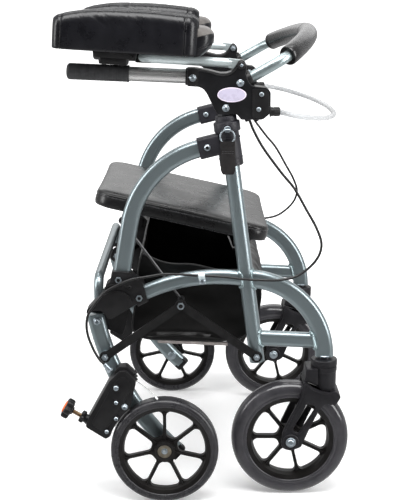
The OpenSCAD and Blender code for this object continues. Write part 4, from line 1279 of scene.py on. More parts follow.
# ------------------------------------------------------------------ weld beads where the tubes join
def bead(pts, r=2.1, step=1.9, seed=0.0, closed=True):
    """Rippled fillet of weld metal along a line."""
    pts = [Vector(p) for p in pts]
    total = length(pts + ([pts[0]] if closed else []))
    n = max(12, int(total / (step / 2)))
    ext = pts + ([pts[0]] if closed else [])
    cum = [0.0]
    for a, b in zip(ext, ext[1:]):
        cum.append(cum[-1] + (b - a).length)
    out, radii = [], []
    for i in range(n if closed else n + 1):
        s = total * i / n
        j = max(k for k in range(len(cum)) if cum[k] <= s + 1e-9)
        j = min(j, len(ext) - 2)
        t = (s - cum[j]) / max(1e-9, cum[j + 1] - cum[j])
        out.append(ext[j].lerp(ext[j + 1], t))
        radii.append(1 + 0.13 * math.cos(2 * math.pi * s / step) + 0.1 * noise.noise(Vector((s * 0.12, seed, 1.7))))
    return tube(out, r, 8, radii=radii, closed=closed)


def on_post_loop(center_dir, half_h, half_t, z_mid, side_sign, n=40, slope=0.0):
    """Line where a flat-sided tube meets the round post: on the post's skin, around the tube's section."""
    sec = bar_section(2 * half_h, 2 * half_t, 6, 4)
    pts = []
    for a, b in sec:
        # a runs along the height, b across (Y)
        z = z_mid + a
        xx = math.sqrt(max(0.0, 14.0 ** 2 - b * b))
        c = post_x(z)
        pts.append(V(c + side_sign * (xx + 0.2), Y0 + b, z))
    return pts


def welds():
    bm = bmesh.new()
    # post with the lower arch's rear half, and with the front loop
    add(bm, bead(on_post_loop(0, 14.4, 11.2, 415.6, -1), 2.9, seed=1.0))
    add(bm, bead(on_post_loop(0, 17.4, 11.4, 416.0, 1), 3.0, seed=2.0))
    # post with the foot bar
    add(bm, bead(on_post_loop(0, 15.0, 11.0, 303.0, 1), 3.0, seed=3.0))
    # foot bar with the front loop: on the loop's inner side
    pts = []
    for a, b in bar_section(30, 22, 6, 4):
        z = 298.2 + a
        r = 148.5 - 17.0
        x = 70.5 + math.sqrt(max(0.0, r * r - (z - 268) ** 2)) - (0.0 if abs(b) < 9 else -1.5)
        pts.append(V(x, Y0 + b, z))
    add(bm, bead(pts, 3.0, seed=4.0))
    return bm


both("weld_beads", welds, M["weld"], "frame", "frame_paint", smooth=60)


def cross_tube_welds():
    """Collars where the cross members meet the side frames."""
    bm = bmesh.new()
    pts = []
    for k in range(40):
        a = 2 * math.pi * k / 40
        z = 455 + 11.2 * math.sin(a)
        x = 68 + 11.2 * math.cos(a)
        dx = x - post_x(z)
        y = math.sqrt(max(0.0, 14.05 ** 2 - dx * dx))
        pts.append(V(x, Y0 + y, z))
    add(bm, bead(pts, 1.8, seed=6.0))
    return bm


# the weld collar gets the black finish instead of frame paint: painted shade of the dark opening under the seat
both("cross_tube_weld", cross_tube_welds, M["black_metal"], "frame", "black_metal", smooth=60)

# ------------------------------------------------------------------ brake housing on the leg
ARW = (-77.5, 100.0)
SP = (-150.0, 187.0)


def arc_pts(c, r, a0, a1, n):
    return [(c[0] + r * math.cos(rad(a0 + (a1 - a0) * k / n)), c[1] + r * math.sin(rad(a0 + (a1 - a0) * k / n))) for k in range(n + 1)]


HOUSING_SCREWS = [(-165.2, 223.5, 5.0), (-165.6, 195.6, 3.9), (-166.1, 164.6, 4.0), (-183.6, 139.3, 4.1)]


def housing():
    bm = bmesh.new()
    r = 104.0
    # outline: rounded top, long left edge, foot, then the wheel's curve
    arc = arc_pts(ARW, r, 163.5, 128.0, 14)
    out = [(-159, 255), (-178, 235), (-219, 160), (-223, 148), (-186, 124)]
    outer = out + arc + [(-134, 212), (-130, 228), (-131, 240), (-147, 256)]
    rr = [7, 9, 7, 6, 5] + [1.0] + [0] * 13 + [1.0] + [4, 6, 8, 7]
    add(bm, prism(rounded(outer, rr, 4), Y0 - 54, Y0 - 11.2, 5.0, 4, angle=24))
    return bm


def housing_trim():
    bm = bmesh.new()
    y = Y0 - 54
    # cover plate with a stepped edge
    plate = [(-159, 243), (-171, 229), (-208, 162), (-210, 152), (-190, 137), (-176, 155), (-160, 181), (-147, 203), (-140, 217), (-139, 232), (-149, 245)]
    add(bm, prism(rounded(plate, [7, 8, 6, 5, 4, 20, 30, 30, 12, 8, 8], 5), y + 1.0, y - 1.4, 1.2, 2))
    # bosses under the screws
    for x, z, r in HOUSING_SCREWS:
        add(bm, lathe(V(x, y - 1.0, z), (0, -1, 0), [(0, r + 2.6), (1.2, r + 2.2), (1.5, r + 1.4), (1.5, 0)], 24))
    # top hood for the cable stop
    hood = [(-171, 250), (-160, 261), (-146, 262), (-134, 250), (-129, 238), (-131, 226), (-142, 226), (-150, 236)]
    add(bm, prism(rounded(hood, [5, 6, 7, 8, 6, 4, 4, 6], 4), Y0 - 46, Y0 - 22, 2.0, 3))
    for k in range(3):
        zz = 247 - 6.5 * k
        add(bm, tube([V(-132 - 0.6 * k, Y0 - 46.5, zz), V(-128.4 + 0.5 * k, Y0 - 34, zz - 1), V(-132 - 0.6 * k, Y0 - 21.5, zz)], 1.5, 8))
    return bm


both("brake_housing_body", housing, M["plastic"], "%s_leg", "black_plastic", rep="%s_brake_housing", smooth=32)
both("brake_housing_trim", housing_trim, M["plastic"], "%s_leg", "black_plastic", smooth=32)

KA = rad(30.6)
KD = V(math.cos(KA), 0, -math.sin(KA))
K0 = V(-255, Y0 - 36, 177)


def lock_nut():
    """Knurled lock nut on the adjusting screw."""
    bm = bmesh.new()
    n = 64
    rings = []
    for s, k in ((26.0, 0.80), (26.8, 0.95), (27.6, 1.0), (32.4, 1.0), (33.2, 0.95), (34, 0.8)):
        ring = []
        for j in range(n):
            a = 2 * math.pi * j / n
            r = (11.2 + 1.1 * math.cos(8 * a)) * k
            u, v = V(0, 1, 0), KD.cross(V(0, 1, 0))
            ring.append(bm.verts.new(K0 + KD * s + (u * math.cos(a) + v * math.sin(a)) * r))
        rings.append(ring)
    for a, b in zip(rings, rings[1:]):
        for j in range(n):
            bm.faces.new((a[j], a[(j + 1) % n], b[(j + 1) % n], b[j]))
    bm.faces.new(rings[0])
    bm.faces.new(rings[-1])
    # neck between the nut and the housing
    add(bm, lathe(K0 + KD * 33.5, KD, [(0, 5), (0, 8.4), (4, 8.4), (8.5, 10), (8.5, 5)], 28))
    return bm


both("brake_lock_nut", lock_nut, M["plastic"], "%s_leg", "black_plastic", smooth=45)


def knob():
    """Lobed hand knob."""
    bm = bmesh.new()
    n = 96
    rings = []
    u, v = V(0, 1, 0), KD.cross(V(0, 1, 0))
    for s, k in ((-8, 0.80), (-7.6, 0.90), (-6.4, 0.97), (-4.5, 1.0), (2.5, 1.0), (4.4, 0.96), (5.6, 0.88), (6, 0.78)):
        ring = []
        for j in range(n):
            a = 2 * math.pi * j / n
            r = 17.6 + 2.0 * math.cos(6 * a) - 0.5 * math.cos(12 * a)
            ring.append(bm.verts.new(K0 + KD * s + (u * math.cos(a) + v * math.sin(a)) * r * k))
        rings.append(ring)
    for a, b in zip(rings, rings[1:]):
        for j in range(n):
            bm.faces.new((a[j], a[(j + 1) % n], b[(j + 1) % n], b[j]))
    bm.faces.new(rings[0])
    bm.faces.new(rings[-1])
    add(bm, lathe(K0 + KD * 5.5, KD, [(0, 4), (0, 8.5), (3, 7.4), (3.8, 6.6), (3.8, 4)], 28))
    return bm


def knob_disc():
    return lathe(K0 + KD * -7.7, -KD, [(0, 0), (0, 11.2), (1.0, 11.2), (1.7, 10.6), (2.0, 8.5), (2.2, 4), (2.2, 0)], 40)


def knob_screw():
    """Threaded screw: fine ring ridges turned round a rod."""
    prof = [(7, 0)]
    s = 7.0
    while s < 60:
        prof += [(s, 3.55), (s + 0.5, 4.0), (s + 0.7, 4.0), (s + 1.2, 3.55)]
        s += 1.25
    prof += [(61.5, 3.0), (61.5, 0)]
    return lathe(K0, KD, prof, 24)


both("brake_knob_head", knob, M["plastic"], "%s_knob", "black_plastic", rep="%s_brake_knob", smooth=40)
both("brake_knob_disc", knob_disc, M["orange"], "%s_knob", "brass", smooth=40)
both("brake_knob_screw", knob_screw, M["brass"], "%s_knob", "brass", smooth=40)


def leg_metal():
    bm = bmesh.new()
    # wheel axle
    add(bm, lathe(V(ARW[0], Y0 - 57.4, ARW[1]), (0, 1, 0), [(0, 0), (0, 1.5), (0.5, 1.9), (0.5, 3.9), (1.0, 4.7), (3.4, 4.7), (3.4, 6), (42.5, 6), (42.5, 10), (46.2, 10),
                                                        (46.2, 6), (68.4, 6), (68.4, 0)], 36))
    add(bm, nut(V(ARW[0], Y0 + 11.0, ARW[1]), (0, 1, 0), 8.2, 6, washer=9.4, stud=1.6))
    # brace pivot on the leg
    add(bm, lathe(V(-187, Y0 - 11.0, 273), (0, -1, 0), [(0, 0), (0, 8), (9.4, 8), (9.4, 4), (15, 4), (15, 0)], 28))
    add(bm, nut(V(-187, Y0 - 25.8, 273), (0, -1, 0), 6.2, 4.2, stud=0.4))
    add(bm, nut(V(-187, Y0 + 10.6, 273), (0, 1, 0), 6.8, 4.6, stud=0.8))
    # housing screws
    for x, z, r in HOUSING_SCREWS:
        add(bm, button(V(x, Y0 - 56.0, z), (0, -1, 0), r, 2.6))
    add(bm, button(V(SP[0], Y0 - 54.6, SP[1]), (0, -1, 0), 4.6, 3.2, washer=5.8))
    # cable adjuster: knurled barrel with its locknut
    d = V(math.sin(rad(137)), 0, math.cos(rad(137)))
    o = V(-182, Y0 - 34, 256)
    add(bm, lathe(o, d, [(-8.6, 2.5), (-8.6, 3.5), (-8.0, 4.2), (-3, 4.4), (-2.6, 3.7), (-1.8, 3.7), (-1.4, 4.4), (6, 4.4), (6, 0), (-4, 0), (-4, 2.5)], 24))
    add(bm, lathe(o + d * 5, d, [(0, 0), (0, 6.6), (3.6, 6.6), (3.6, 0)], 24, hexes=(1, 2)))
    return bm


lm = both("leg_metal", leg_metal, M["zinc"], "%s_leg", "zinc", rep="%s_leg_hardware", smooth=35)


def leg_plug():
    """Black plastic plug in the leg's open end."""
    LC, LR = (276.3, 439.9), 490.0
    pts = []
    for k in range(5):
        t = rad(226.6 + 1.7 * k / 4)
        pts.append(V(LC[0] + LR * math.cos(t), Y0, LC[1] + LR * math.sin(t)))
    t0 = (pts[1] - pts[0]).normalized()
    return tube(pts, 1, section=bar_section(31.2, 21.2, 6), up=(t0.z, 0, -t0.x), radii=[1, 1, 1, 1, 0.93])


both("leg_plug", leg_plug, M["plastic"], "%s_leg", "black_plastic", smooth=40)


def brake_wire():
    """Inner wire that leaves the housing, with a crimped end."""
    y = Y0 - 34
    pts = catmull([V(-142, y, 238), V(-135, y - 2, 235), V(-126, y - 6, 230.2), V(-108, y - 13, 219.6), V(-98.6, y - 20, 212), V(-89.5, y - 27, 204.8)], 8)
    bm = bmesh.new()
    add(bm, tube(pts, 0.95, 8))
    return bm, pts


def wire_bits():
    bm = bmesh.new()
    _, pts = brake_wire()
    e, d = pts[-1], (pts[-1] - pts[-2]).normalized()
    add(bm, lathe(e - d * 6, d, [(0, 0.6), (0.2, 1.8), (5.6, 1.9), (6.4, 1.2), (6.4, 0)], 14))
    return bm


def wire_frays():
    bm = bmesh.new()
    y = Y0 - 34
    random.seed(11)
    for k in range(5):
        a = random.uniform(-1, 1)
        b = random.uniform(-1, 1)
        add(bm, tube([V(-138, y, 240), V(-133, y + 1.5 * a, 241 + 1.5 * b), V(-128.5, y + 4 * a, 241 + 5 * b)], 0.3, 5))
    return bm


both("brake_wire_tail", lambda: brake_wire()[0], M["steel"], "%s_leg", "zinc", smooth=60)
both("brake_wire_crimp", wire_bits, M["white"], "%s_leg", smooth=45)
both("brake_wire_frays", wire_frays, M["steel"], "%s_leg", "zinc", smooth=60)

# ------------------------------------------------------------------ castor forks
STEM, AFW = 219.0, (157.0, 110.0)


def clockwise(pts):
    area = sum(a[0] * b[1] - b[0] * a[1] for a, b in zip(pts, pts[1:] + pts[:1]))
    return pts if area < 0 else list(reversed(pts))


def holed(outer, hole, y0, y1, ch=1.4):
    """Plate with an opening right through it: outlines in the side plane, its edges chamfered round."""
    bm = bmesh.new()
    outer, hole = clockwise(outer), clockwise(hole)
    lo, hi = min(y0, y1), max(y0, y1)
    st = [(lo, ch), (lo + 0.3 * ch, 0.3 * ch), (lo + ch, 0.0), (hi - ch, 0.0), (hi - 0.3 * ch, 0.3 * ch), (hi, ch)]
    caps = {lo: [], hi: []}
    for loop, sign in ((outer, 1), (hole, -1)):
        rings = [[bm.verts.new((x, y, z)) for x, z in (inset_loop(loop, sign * d) if d else loop)] for y, d in st]
        n = len(loop)
        for r0, r1 in zip(rings, rings[1:]):
            for i in range(n):
                bm.faces.new((r0[i], r0[(i + 1) % n], r1[(i + 1) % n], r1[i]))
        for key, ring in ((lo, rings[0]), (hi, rings[-1])):
            caps[key] += [bm.edges.get((ring[i], ring[(i + 1) % n])) for i in range(n)]
    for edges in caps.values():
        bmesh.ops.triangle_fill(bm, use_beauty=True, use_dissolve=False, edges=edges)
    bmesh.ops.recalc_face_normals(bm, faces=bm.faces)
    return bm


FORK = [(179, 228), (176.3, 208.3), (172.9, 192.7), (155, 157.5), (142.4, 129.9), (139.1, 106.2), (143, 96), (157, 92.5), (171, 97), (176.5, 100.2), (181.8, 112.1), (192.5, 137.8),
        (206.7, 167.3), (212.1, 177.1), (221.5, 184.5), (229.3, 182.5), (240.4, 182.7), (249.3, 198.4), (240, 208.5), (228, 205), (212, 208.5), (196, 215.5)]
FORK_R = [3, 8, 14, 30, 14, 9, 9, 14, 9, 5, 14, 30, 20, 9, 7, 6, 7, 6, 5, 8, 12, 14]
FORK_SLOT = [(186.5, 185), (204, 179.5), (176, 133), (171.5, 126.5), (163.5, 128.5), (161.5, 136)]


def fork():
    bm = bmesh.new()
    # two legs with a long slot, joined by the crown
    for s in (-1, 1):
        add(bm, holed(rounded(FORK, FORK_R, 4), rounded(FORK_SLOT, [5, 4, 9, 4, 4, 5], 4), Y0 + s * 24.6, Y0 + s * 33))
    # fin that joins the legs' rear edge to the head
    fin = [(177, 216), (180.5, 226.5), (183.5, 236), (184.2, 249), (206, 249), (207, 218.5), (190, 226)]
    add(bm, prism(rounded(fin, [3, 5, 5, 3, 2, 2, 6], 4), Y0 - 24.9, Y0 + 24.9, 1.6, 3))
    bridge = [(226, 206), (240, 208.2), (249, 198.4), (245.8, 192), (238, 193.5)]
    add(bm, prism(rounded(bridge, [3, 4, 4, 3, 4], 4), Y0 - 25, Y0 + 25, 1.2, 2))
    # round head: its foot is cut on a slope, clear of the tyre
    prof = [(0, 0), (0, 22.8), (30, 23.0), (48, 23.2), (49, 23.9), (51, 24.1), (58.5, 24.3), (59.2, 23.2), (60.2, 23.2), (61, 24.4), (70.5, 24.4), (72.0, 23.4), (72.6, 20),
            (72.8, 12), (75.8, 11.4), (76, 10.6), (76, 0)]
    head = lathe(V(STEM, Y0, 191.4), (0, 0, 1), prof, 48)
    bmesh.ops.bisect_plane(head, geom=head.verts[:] + head.edges[:] + head.faces[:], plane_co=V(186, Y0, 228), plane_no=V(0.585, 0, 0.811), clear_inner=True)
    bmesh.ops.holes_fill(head, edges=[e for e in head.edges if len(e.link_faces) == 1])
    add(bm, head)
    return bm


def fork_trim():
    bm = bmesh.new()
    for s in (-1, 1):
        y = Y0 + s * 33
        # raised edge along the top of the leg and down its back
        line = catmull([V(232, y - s * 1.4, 202), V(214, y - s * 1.0, 205.4), V(197, y - s * 1.0, 212), V(182.4, y - s * 1.0, 222.5), V(179.2, y - s * 0.8, 210), V(175.4, y - s * 0.6, 192.6),
                        V(157.6, y - s * 0.6, 157), V(145.4, y - s * 0.6, 130)], 7)
        add(bm, tube(line, 1.5, 8))
        # lip round the slot
        pts = rounded([(184.4, 187), (206.6, 180), (178, 132), (172.4, 124), (162, 126.4), (159.2, 136.4)], [6, 5, 10, 5, 5, 6], 5)
        add(bm, tube([V(x, y - s * 0.5, z) for x, z in pts], 1.1, 8, closed=True))
        # axle boss
        add(bm, lathe(V(AFW[0], y - s * 0.5, AFW[1]), (0, s, 0), [(0, 15.4), (1.8, 15.2), (2.6, 14.2), (2.6, 0)], 36))
    return bm


both("fork_body", fork, M["fork"], "%s_caster", "black_plastic", rep="%s_caster_fork", smooth=32)
both("fork_trim", fork_trim, M["fork"], "%s_caster", "black_plastic", smooth=32)


def fork_metal():
    bm = bmesh.new()
    for s in (-1, 1):
        add(bm, button(V(AFW[0], Y0 + s * 35.4, AFW[1]), (0, s, 0), 6.8, 3.6, n=30, washer=9.2))
    add(bm, lathe(V(AFW[0], Y0 - 35, AFW[1]), (0, 1, 0), [(0, 0), (0, 3.98), (70, 3.98), (70, 0)], 24))
    add(bm, lathe(V(STEM, Y0, 262), (0, 0, 1), [(0, 0), (0, 6), (37.5, 6), (38, 5.5), (38, 0)], 24))
    add(bm, lathe(V(STEM, Y0, 267.4), (0, 0, 1), [(0, 0), (0, 13), (1.2, 14), (2.6, 14), (3.4, 13), (3.4, 0)], 32))
    return bm


both("fork_metal", fork_metal, M["zinc"], "%s_caster", "zinc", smooth=35)

def ring_lathe(origin, axis, prof, n=128):
    """Closed profile of (along, radius) turned about an axis, as a ring."""
    bm = bmesh.new()
    w = Vector(axis).normalized()
    u = Vector((0, 0, 1)) if abs(w.z) < 0.9 else Vector((1, 0, 0))
    u = (u - w * u.dot(w)).normalized()
    v = w.cross(u)
    o = Vector(origin)
    rings = []
    for s, r in prof:
        rings.append([bm.verts.new(o + w * s + (u * math.cos(2 * math.pi * j / n) + v * math.sin(2 * math.pi * j / n)) * r) for j in range(n)])
    k = len(rings)
    for i in range(k):
        a, b = rings[i], rings[(i + 1) % k]
        for j in range(n):
            bm.faces.new((a[j], a[(j + 1) % n], b[(j + 1) % n], b[j]))
    bmesh.ops.recalc_face_normals(bm, faces=bm.faces)
    return bm


def slab_z(pts, z0, z1, bevel=1.2, seg=2, angle=20):
    """Plan outline (X, Y) given height along Z, edges rounded."""
    bm = bmesh.new()
    a = [bm.verts.new((p[0], p[1], z0)) for p in pts]
    b = [bm.verts.new((p[0], p[1], z1)) for p in pts]
    n = len(pts)
    bm.faces.new(a)
    bm.faces.new(list(reversed(b)))
    for i in range(n):
        bm.faces.new((a[i], b[i], b[(i + 1) % n], a[(i + 1) % n]))
    bmesh.ops.recalc_face_normals(bm, faces=bm.faces)
    if bevel:
        es = sharp_edges(bm, bm.edges, angle)
        bmesh.ops.bevel(bm, geom=es, offset=bevel, offset_type="OFFSET", segments=seg, profile=0.5, affect="EDGES", clamp_overlap=True)
    return bm


# ------------------------------------------------------------------ tyres
def tyre_profile(R, rt, w, c, groove):
    h = w / 2
    prof = [(-h + 3.2, rt), (-h + 1.4, rt + 0.5), (-h + 0.5, rt + 1.8), (-h + 0.15, rt + groove - 1.4), (-h + 0.7, rt + groove - 0.5), (-h + 0.7, rt + groove + 0.5),
            (-h + 0.1, rt + groove + 1.4), (-h, R - c)]
    for k in range(1, 9):
        a = rad(180 - 90 * k / 8)
        prof.append((-h + c + c * math.cos(a), R - c + c * math.sin(a) - 0.35 * k / 8))
    half = prof
    crown = [(-h + c + (h - c) * t, R - 0.35 * (1 - t ** 0.8)) for t in (0.35, 0.7, 0.92)]
    mid = [(-0.5, R - 0.02), (-0.25, R), (0.25, R), (0.5, R - 0.02)]
    other = [(-s, r) for s, r in reversed(half + crown)]
    return half + crown + mid + other


both("rear_tyre_ring", lambda: ring_lathe(V(ARW[0], -308, ARW[1]), (0, 1, 0), tyre_profile(100, 85.06, 33, 8.2, 5.2)), M["rear_tyre"], "%s_rear_wheel", "rear_tyre",
     rep="%s_rear_tyre", smooth=50)
both("front_tyre_ring", lambda: ring_lathe(V(AFW[0], -268, AFW[1]), (0, 1, 0), tyre_profile(110, 81.06, 42, 16.5, 6.5)), M["front_tyre"], "%s_front_wheel", "front_tyre",
     rep="%s_front_tyre", smooth=50)


# ------------------------------------------------------------------ links' middle pin
def link_nut():
    bm = bmesh.new()
    add(bm, nut(V(-47, Y0 - 25.4, 371), (0, -1, 0), 7.2, 4.6, stud=-1.8))
    return bm


both("brace_nut", link_nut, M["zinc"], "%s_rear_brace", "zinc", smooth=35)


# ------------------------------------------------------------------ clamps under the forearm pads
def pad_clamp():
    bm = bmesh.new()
    # block with sloping ends, the flange over it and the tongue that holds the tube
    block = slab_z(rounded([(-190.5, Y0 - 20), (-137.5, Y0 - 20), (-137.5, Y0 + 20), (-190.5, Y0 + 20)], 6, 5), 792.3, 813.5, 2.0, 3)
    for v in block.verts:
        k = (v.co.z - 792.3) / 21.2
        v.co.x += (-1.4 if v.co.x < -164 else 1.0) * (2.2 * k - 1.0)
    add(bm, block)
    flange = [(-199.6, 814.8), (-199.0, 811), (-196, 805.6), (-190, 804.2), (-139, 804.2), (-135.5, 803), (-124.5, 803), (-124.2, 814.8)]
    add(bm, prism(rounded(flange, [1, 2, 3, 3, 2, 2, 2, 1], 4), Y0 - 31, Y0 + 33, 1.2, 2))
    add(bm, slab_z(rounded([(-127, Y0 + 12), (-99, Y0 + 12), (-99, Y0 + 34), (-127, Y0 + 34)], 4, 5), 796.2, 814.6, 2.0, 3))
    add(bm, lathe(V(-163, Y0, 812), (0, 0, 1), [(0, 0), (0, 5.9), (19.5, 5.9), (20, 5.4), (20, 0)], 32))
    # shallow pads on the block's long sides
    for s in (-1, 1):
        pl = rounded([(-184, 796), (-144, 796), (-143, 803.6), (-185.5, 803.6)], 2, 4)
        add(bm, prism(pl, Y0 + s * 19.5, Y0 + s * 20.8, 0.6, 2))
    return tip(bm)


def clamp_screws():
    bm = bmesh.new()
    for x in (-180, -148):
        for y in (-13, 13):
            add(bm, button(V(x, Y0 + y, 792.4), (0, 0, -1), 4.2, 2.2))
    add(bm, button(V(-130, Y0 - 31, 808.8), (0, -1, 0), 3.2, 1.6))
    return tip(bm)


both("pad_clamp_body", pad_clamp, M["plastic"], "%s_arm", "black_plastic", rep="%s_pad_clamp", smooth=32)
both("pad_clamp_screws", clamp_screws, M["black_metal"], "%s_arm", "zinc", smooth=35)

# ------------------------------------------------------------------ rear grips
RT = rad(2.5)


def grip():
    """Rubber sleeve with a collar at its mouth, shallow rings and a domed end."""
    o = V(-36, Y0, 784.5)
    d = V(-math.cos(RT), 0, math.sin(RT))
    # s runs from the mouth to the end
    prof = [(101, 12.85), (101, 14.4), (101.7, 15.2), (103.6, 15.2), (104.4, 14.6)]
    s = 104.4
    prof += [(s + 1.0, 14.5)]
    for k in range(11):
        a = 112 + 8.2 * k
        prof += [(a, 14.55), (a + 0.35, 14.2), (a + 0.9, 14.2), (a + 1.25, 14.55)]
    prof += [(205.4, 14.5)]
    for k in range(1, 10):
        t = rad(90 * k / 9)
        prof.append((205.4 + 6.4 * math.sin(t), 14.5 * (0.42 + 0.58 * math.cos(t)) if k < 9 else 14.5 * 0.42))
    prof += [(211.9, 3.6), (211.2, 3.2), (211.2, 0)]
    return lathe(o, d, prof, 48)


gr = both("rear_grip_sleeve", grip, M["grip"], "handle_unit", "grip_rubber", smooth=40)
for g in gr:
    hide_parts("rear_grips")

# ------------------------------------------------------------------ foam on the handlebar: its mouths and the joint in the middle
BAR = (58.8, 771.5)
BARA = rad(29.3)


def bar_pt(s, y, up=0.0):
    c, n = math.cos(BARA), math.sin(BARA)
    return V(BAR[0] + s * c - up * n, y, BAR[1] + s * n + up * c)


BOW = dict(s=63.5, c=48.0, f=65.0, m=44.0)
BOW["r"] = (HALF - BOW["c"] * (1 - math.sin(rad(90 - BOW["f"])))) / math.sin(rad(90 - BOW["f"]))
BOW["x"] = BOW["s"] + (BOW["c"] - BOW["r"]) * math.sin(rad(BOW["f"]))


def foam_path():
    """Centre line of one half of the foam, from its mouth on the corner to the middle of the bowed bar."""
    pts = []
    for k in range(12):
        a = rad(-90 + BOW["m"] + (BOW["f"] - BOW["m"]) * k / 12)
        pts.append((BOW["s"] + BOW["c"] * math.cos(a), -(HALF - BOW["c"]) + BOW["c"] * math.sin(a)))
    e = 90 - BOW["f"]
    for k in range(65):
        a = rad(-e + (e - 0.25) * k / 64)
        pts.append((BOW["x"] + BOW["r"] * math.cos(a), BOW["r"] * math.sin(a)))
    return [bar_pt(s, y) for s, y in pts]


def foam():
    bm = bmesh.new()
    pts = foam_path()
    n = 40
    fr = frames(pts, up=(-math.sin(BARA), 0, math.cos(BARA)))
    cum = [0.0]
    for a, b in zip(pts, pts[1:]):
        cum.append(cum[-1] + (b - a).length)
    rings = []

    def ring(i, r, wob=True):
        p, u, v, _ = fr[i]
        out = []
        for j in range(n):
            a = 2 * math.pi * j / n
            q = p + (u * math.cos(a) + v * math.sin(a)) * r
            if wob:
                h = 0.22 * smooth_noise(q, 0.05, 2.0) + 0.12 * smooth_noise(q, 0.16, 5.0)
                q = q + (u * math.cos(a) + v * math.sin(a)) * h
            out.append(bm.verts.new(q))
        return out

    R = 18.0
    total = cum[-1]
    rings.append(ring(0, 10.15, False))
    rings.append(ring(0, 15.0, False))
    for i in range(len(pts)):
        s = cum[i]
        e = min(s, total - s)
        k = R - 1.1 * math.exp(-(e / 1.6) ** 2)
        rings.append(ring(i, k))
    rings.append(ring(len(pts) - 1, 15.0, False))
    rings.append(ring(len(pts) - 1, 10.15, False))
    for a, b in zip(rings, rings[1:]):
        for j in range(n):
            bm.faces.new((a[j], a[(j + 1) % n], b[(j + 1) % n], b[j]))
    # inside of the sleeve, against the bar
    a, b = rings[-1], rings[0]
    inner = [a]
    for i in range(len(pts) - 2, 0, -6):
        inner.append(ring(i, 10.15, False))
    inner.append(b)
    for a, b in zip(inner, inner[1:]):
        for j in range(n):
            bm.faces.new((a[j], a[(j + 1) % n], b[(j + 1) % n], b[j]))
    return bm


fm = both("foam_sleeve", foam, M["foam"], "handle_unit", "foam", smooth=45)
for f in fm:
    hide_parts("foam_grips")
both("foam_cap_ring", lambda: ring_lathe(bar_pt(BOW["x"] + BOW["r"] - 0.1, -1.25), (0, 1, 0), [(-1.15, 10.1), (-1.15, 14.6), (-0.7, 15.1), (0.8, 15.1), (1.2, 14.7), (1.2, 10.1)], 40),
     M["plastic"], "handle_unit", "grip_rubber", smooth=40)

# ------------------------------------------------------------------ finishes of the CAD pieces that keep their shape
for side in ("right", "left"):
    finish_node(f"{side}_side_frame", "paint")
    finish_node(f"{side}_rear_leg", "paint")
    finish_node(f"{side}_rear_link", "black_metal")
    finish_node(f"{side}_front_link", "black_metal")
    # arm tubes get the lighter silver copy: painted highlight of the floor's reflection under the pads
    finish_node(f"{side}_arm_tube", "arm")
    finish_node(f"{side}_rear_rim", "rim")
    finish_node(f"{side}_front_rim", "rim")
    finish_node(f"{side}_rear_bearings", "bearing")
    finish_node(f"{side}_brake_shoe", "shoe")
finish_node("rear_cross_bar", "paint")
# front cross tube in black instead of frame paint: painted shade of the dark opening under the seat where it sits
finish_node("front_cross_tube", "black_metal")
finish_node("inner_posts", "dark_tube")
finish_node("handlebar", "silver")
finish_node("rear_handle_tubes", "alu")
finish_node("seat_board", "plastic")
finish_node("seat_rods", "rod")

# ------------------------------------------------------------------ floor, light and camera
me = bpy.data.meshes.new("floor")
S = 150.0
me.from_pydata([(-S, -S, 0), (S, -S, 0), (S, S, 0), (-S, S, 0)], [], [(0, 1, 2, 3)])
floor = bpy.data.objects.new("floor", me)
SC.collection.objects.link(floor)
fm_ = mat("floor_white", (0.92, 0.92, 0.92), 0.6, vary=0.01, vscale=3, rvary=0.05, bump=0.01, bscale=200)
fn, fl = fm_.node_tree.nodes, fm_.node_tree.links
fb = fn["Principled BSDF"]
fb.inputs["Specular IOR Level"].default_value = 0.1
fb.inputs["Emission Color"].default_value = (1, 1, 1, 1)
ft = fn.new("ShaderNodeTexCoord")
fd = fn.new("ShaderNodeVectorMath")
fd.operation = "LENGTH"
fl.new(ft.outputs["Object"], fd.inputs[0])
fr = fn.new("ShaderNodeMapRange")
fr.inputs["From Min"].default_value = 0.0
fr.inputs["From Max"].default_value = 4.0
fl.new(fd.outputs["Value"], fr.inputs["Value"])
fc = fn.new("ShaderNodeValToRGB")
# pale all over: a little glow near the object, more further out
for k, (r, v) in enumerate([(0.0, 0.2), (0.5, 0.23), (1.0, 0.48), (1.7, 0.8), (3.2, 1.0)]):
    e = fc.color_ramp.elements[k] if k < 2 else fc.color_ramp.elements.new(r / 4)
    e.position = r / 4
    e.color = (v, v, v, 1)
fl.new(fr.outputs["Result"], fc.inputs["Fac"])
fl.new(fc.outputs["Color"], fb.inputs["Emission Strength"])
me.materials.append(fm_)
floor.visible_glossy = False      # reflections come from the studio world instead

# far wall that carries the pale floor on above the horizon, for the camera only
bw = bmesh.new()
ring = [[bw.verts.new((40 * math.cos(2 * math.pi * k / 64), 40 * math.sin(2 * math.pi * k / 64), z)) for k in range(64)] for z in (-0.5, 40.0)]
for k in range(64):
    bw.faces.new((ring[0][k], ring[0][(k + 1) % 64], ring[1][(k + 1) % 64], ring[1][k]))
wm_ = bpy.data.meshes.new("backdrop")
bw.to_mesh(wm_)
bw.free()
wall = bpy.data.objects.new("backdrop", wm_)
SC.collection.objects.link(wall)
bm_ = mat("backdrop_white", (0.92, 0.92, 0.92), 0.6, vary=0.01, vscale=3, rvary=0.05)
bm_.node_tree.nodes["Principled BSDF"].inputs["Emission Color"].default_value = (1, 1, 1, 1)
bm_.node_tree.nodes["Principled BSDF"].inputs["Emission Strength"].default_value = 1.0
wm_.materials.append(bm_)
wall.visible_glossy = False
wall.visible_diffuse = False
wall.visible_shadow = False
wall.visible_transmission = False

world = bpy.data.worlds.new("studio")
SC.world = world
world.use_nodes = True
wn, wl = world.node_tree.nodes, world.node_tree.links
bg = wn["Background"]
tc = wn.new("ShaderNodeTexCoord")
sep = wn.new("ShaderNodeSeparateXYZ")
wl.new(tc.outputs["Generated"], sep.inputs["Vector"])
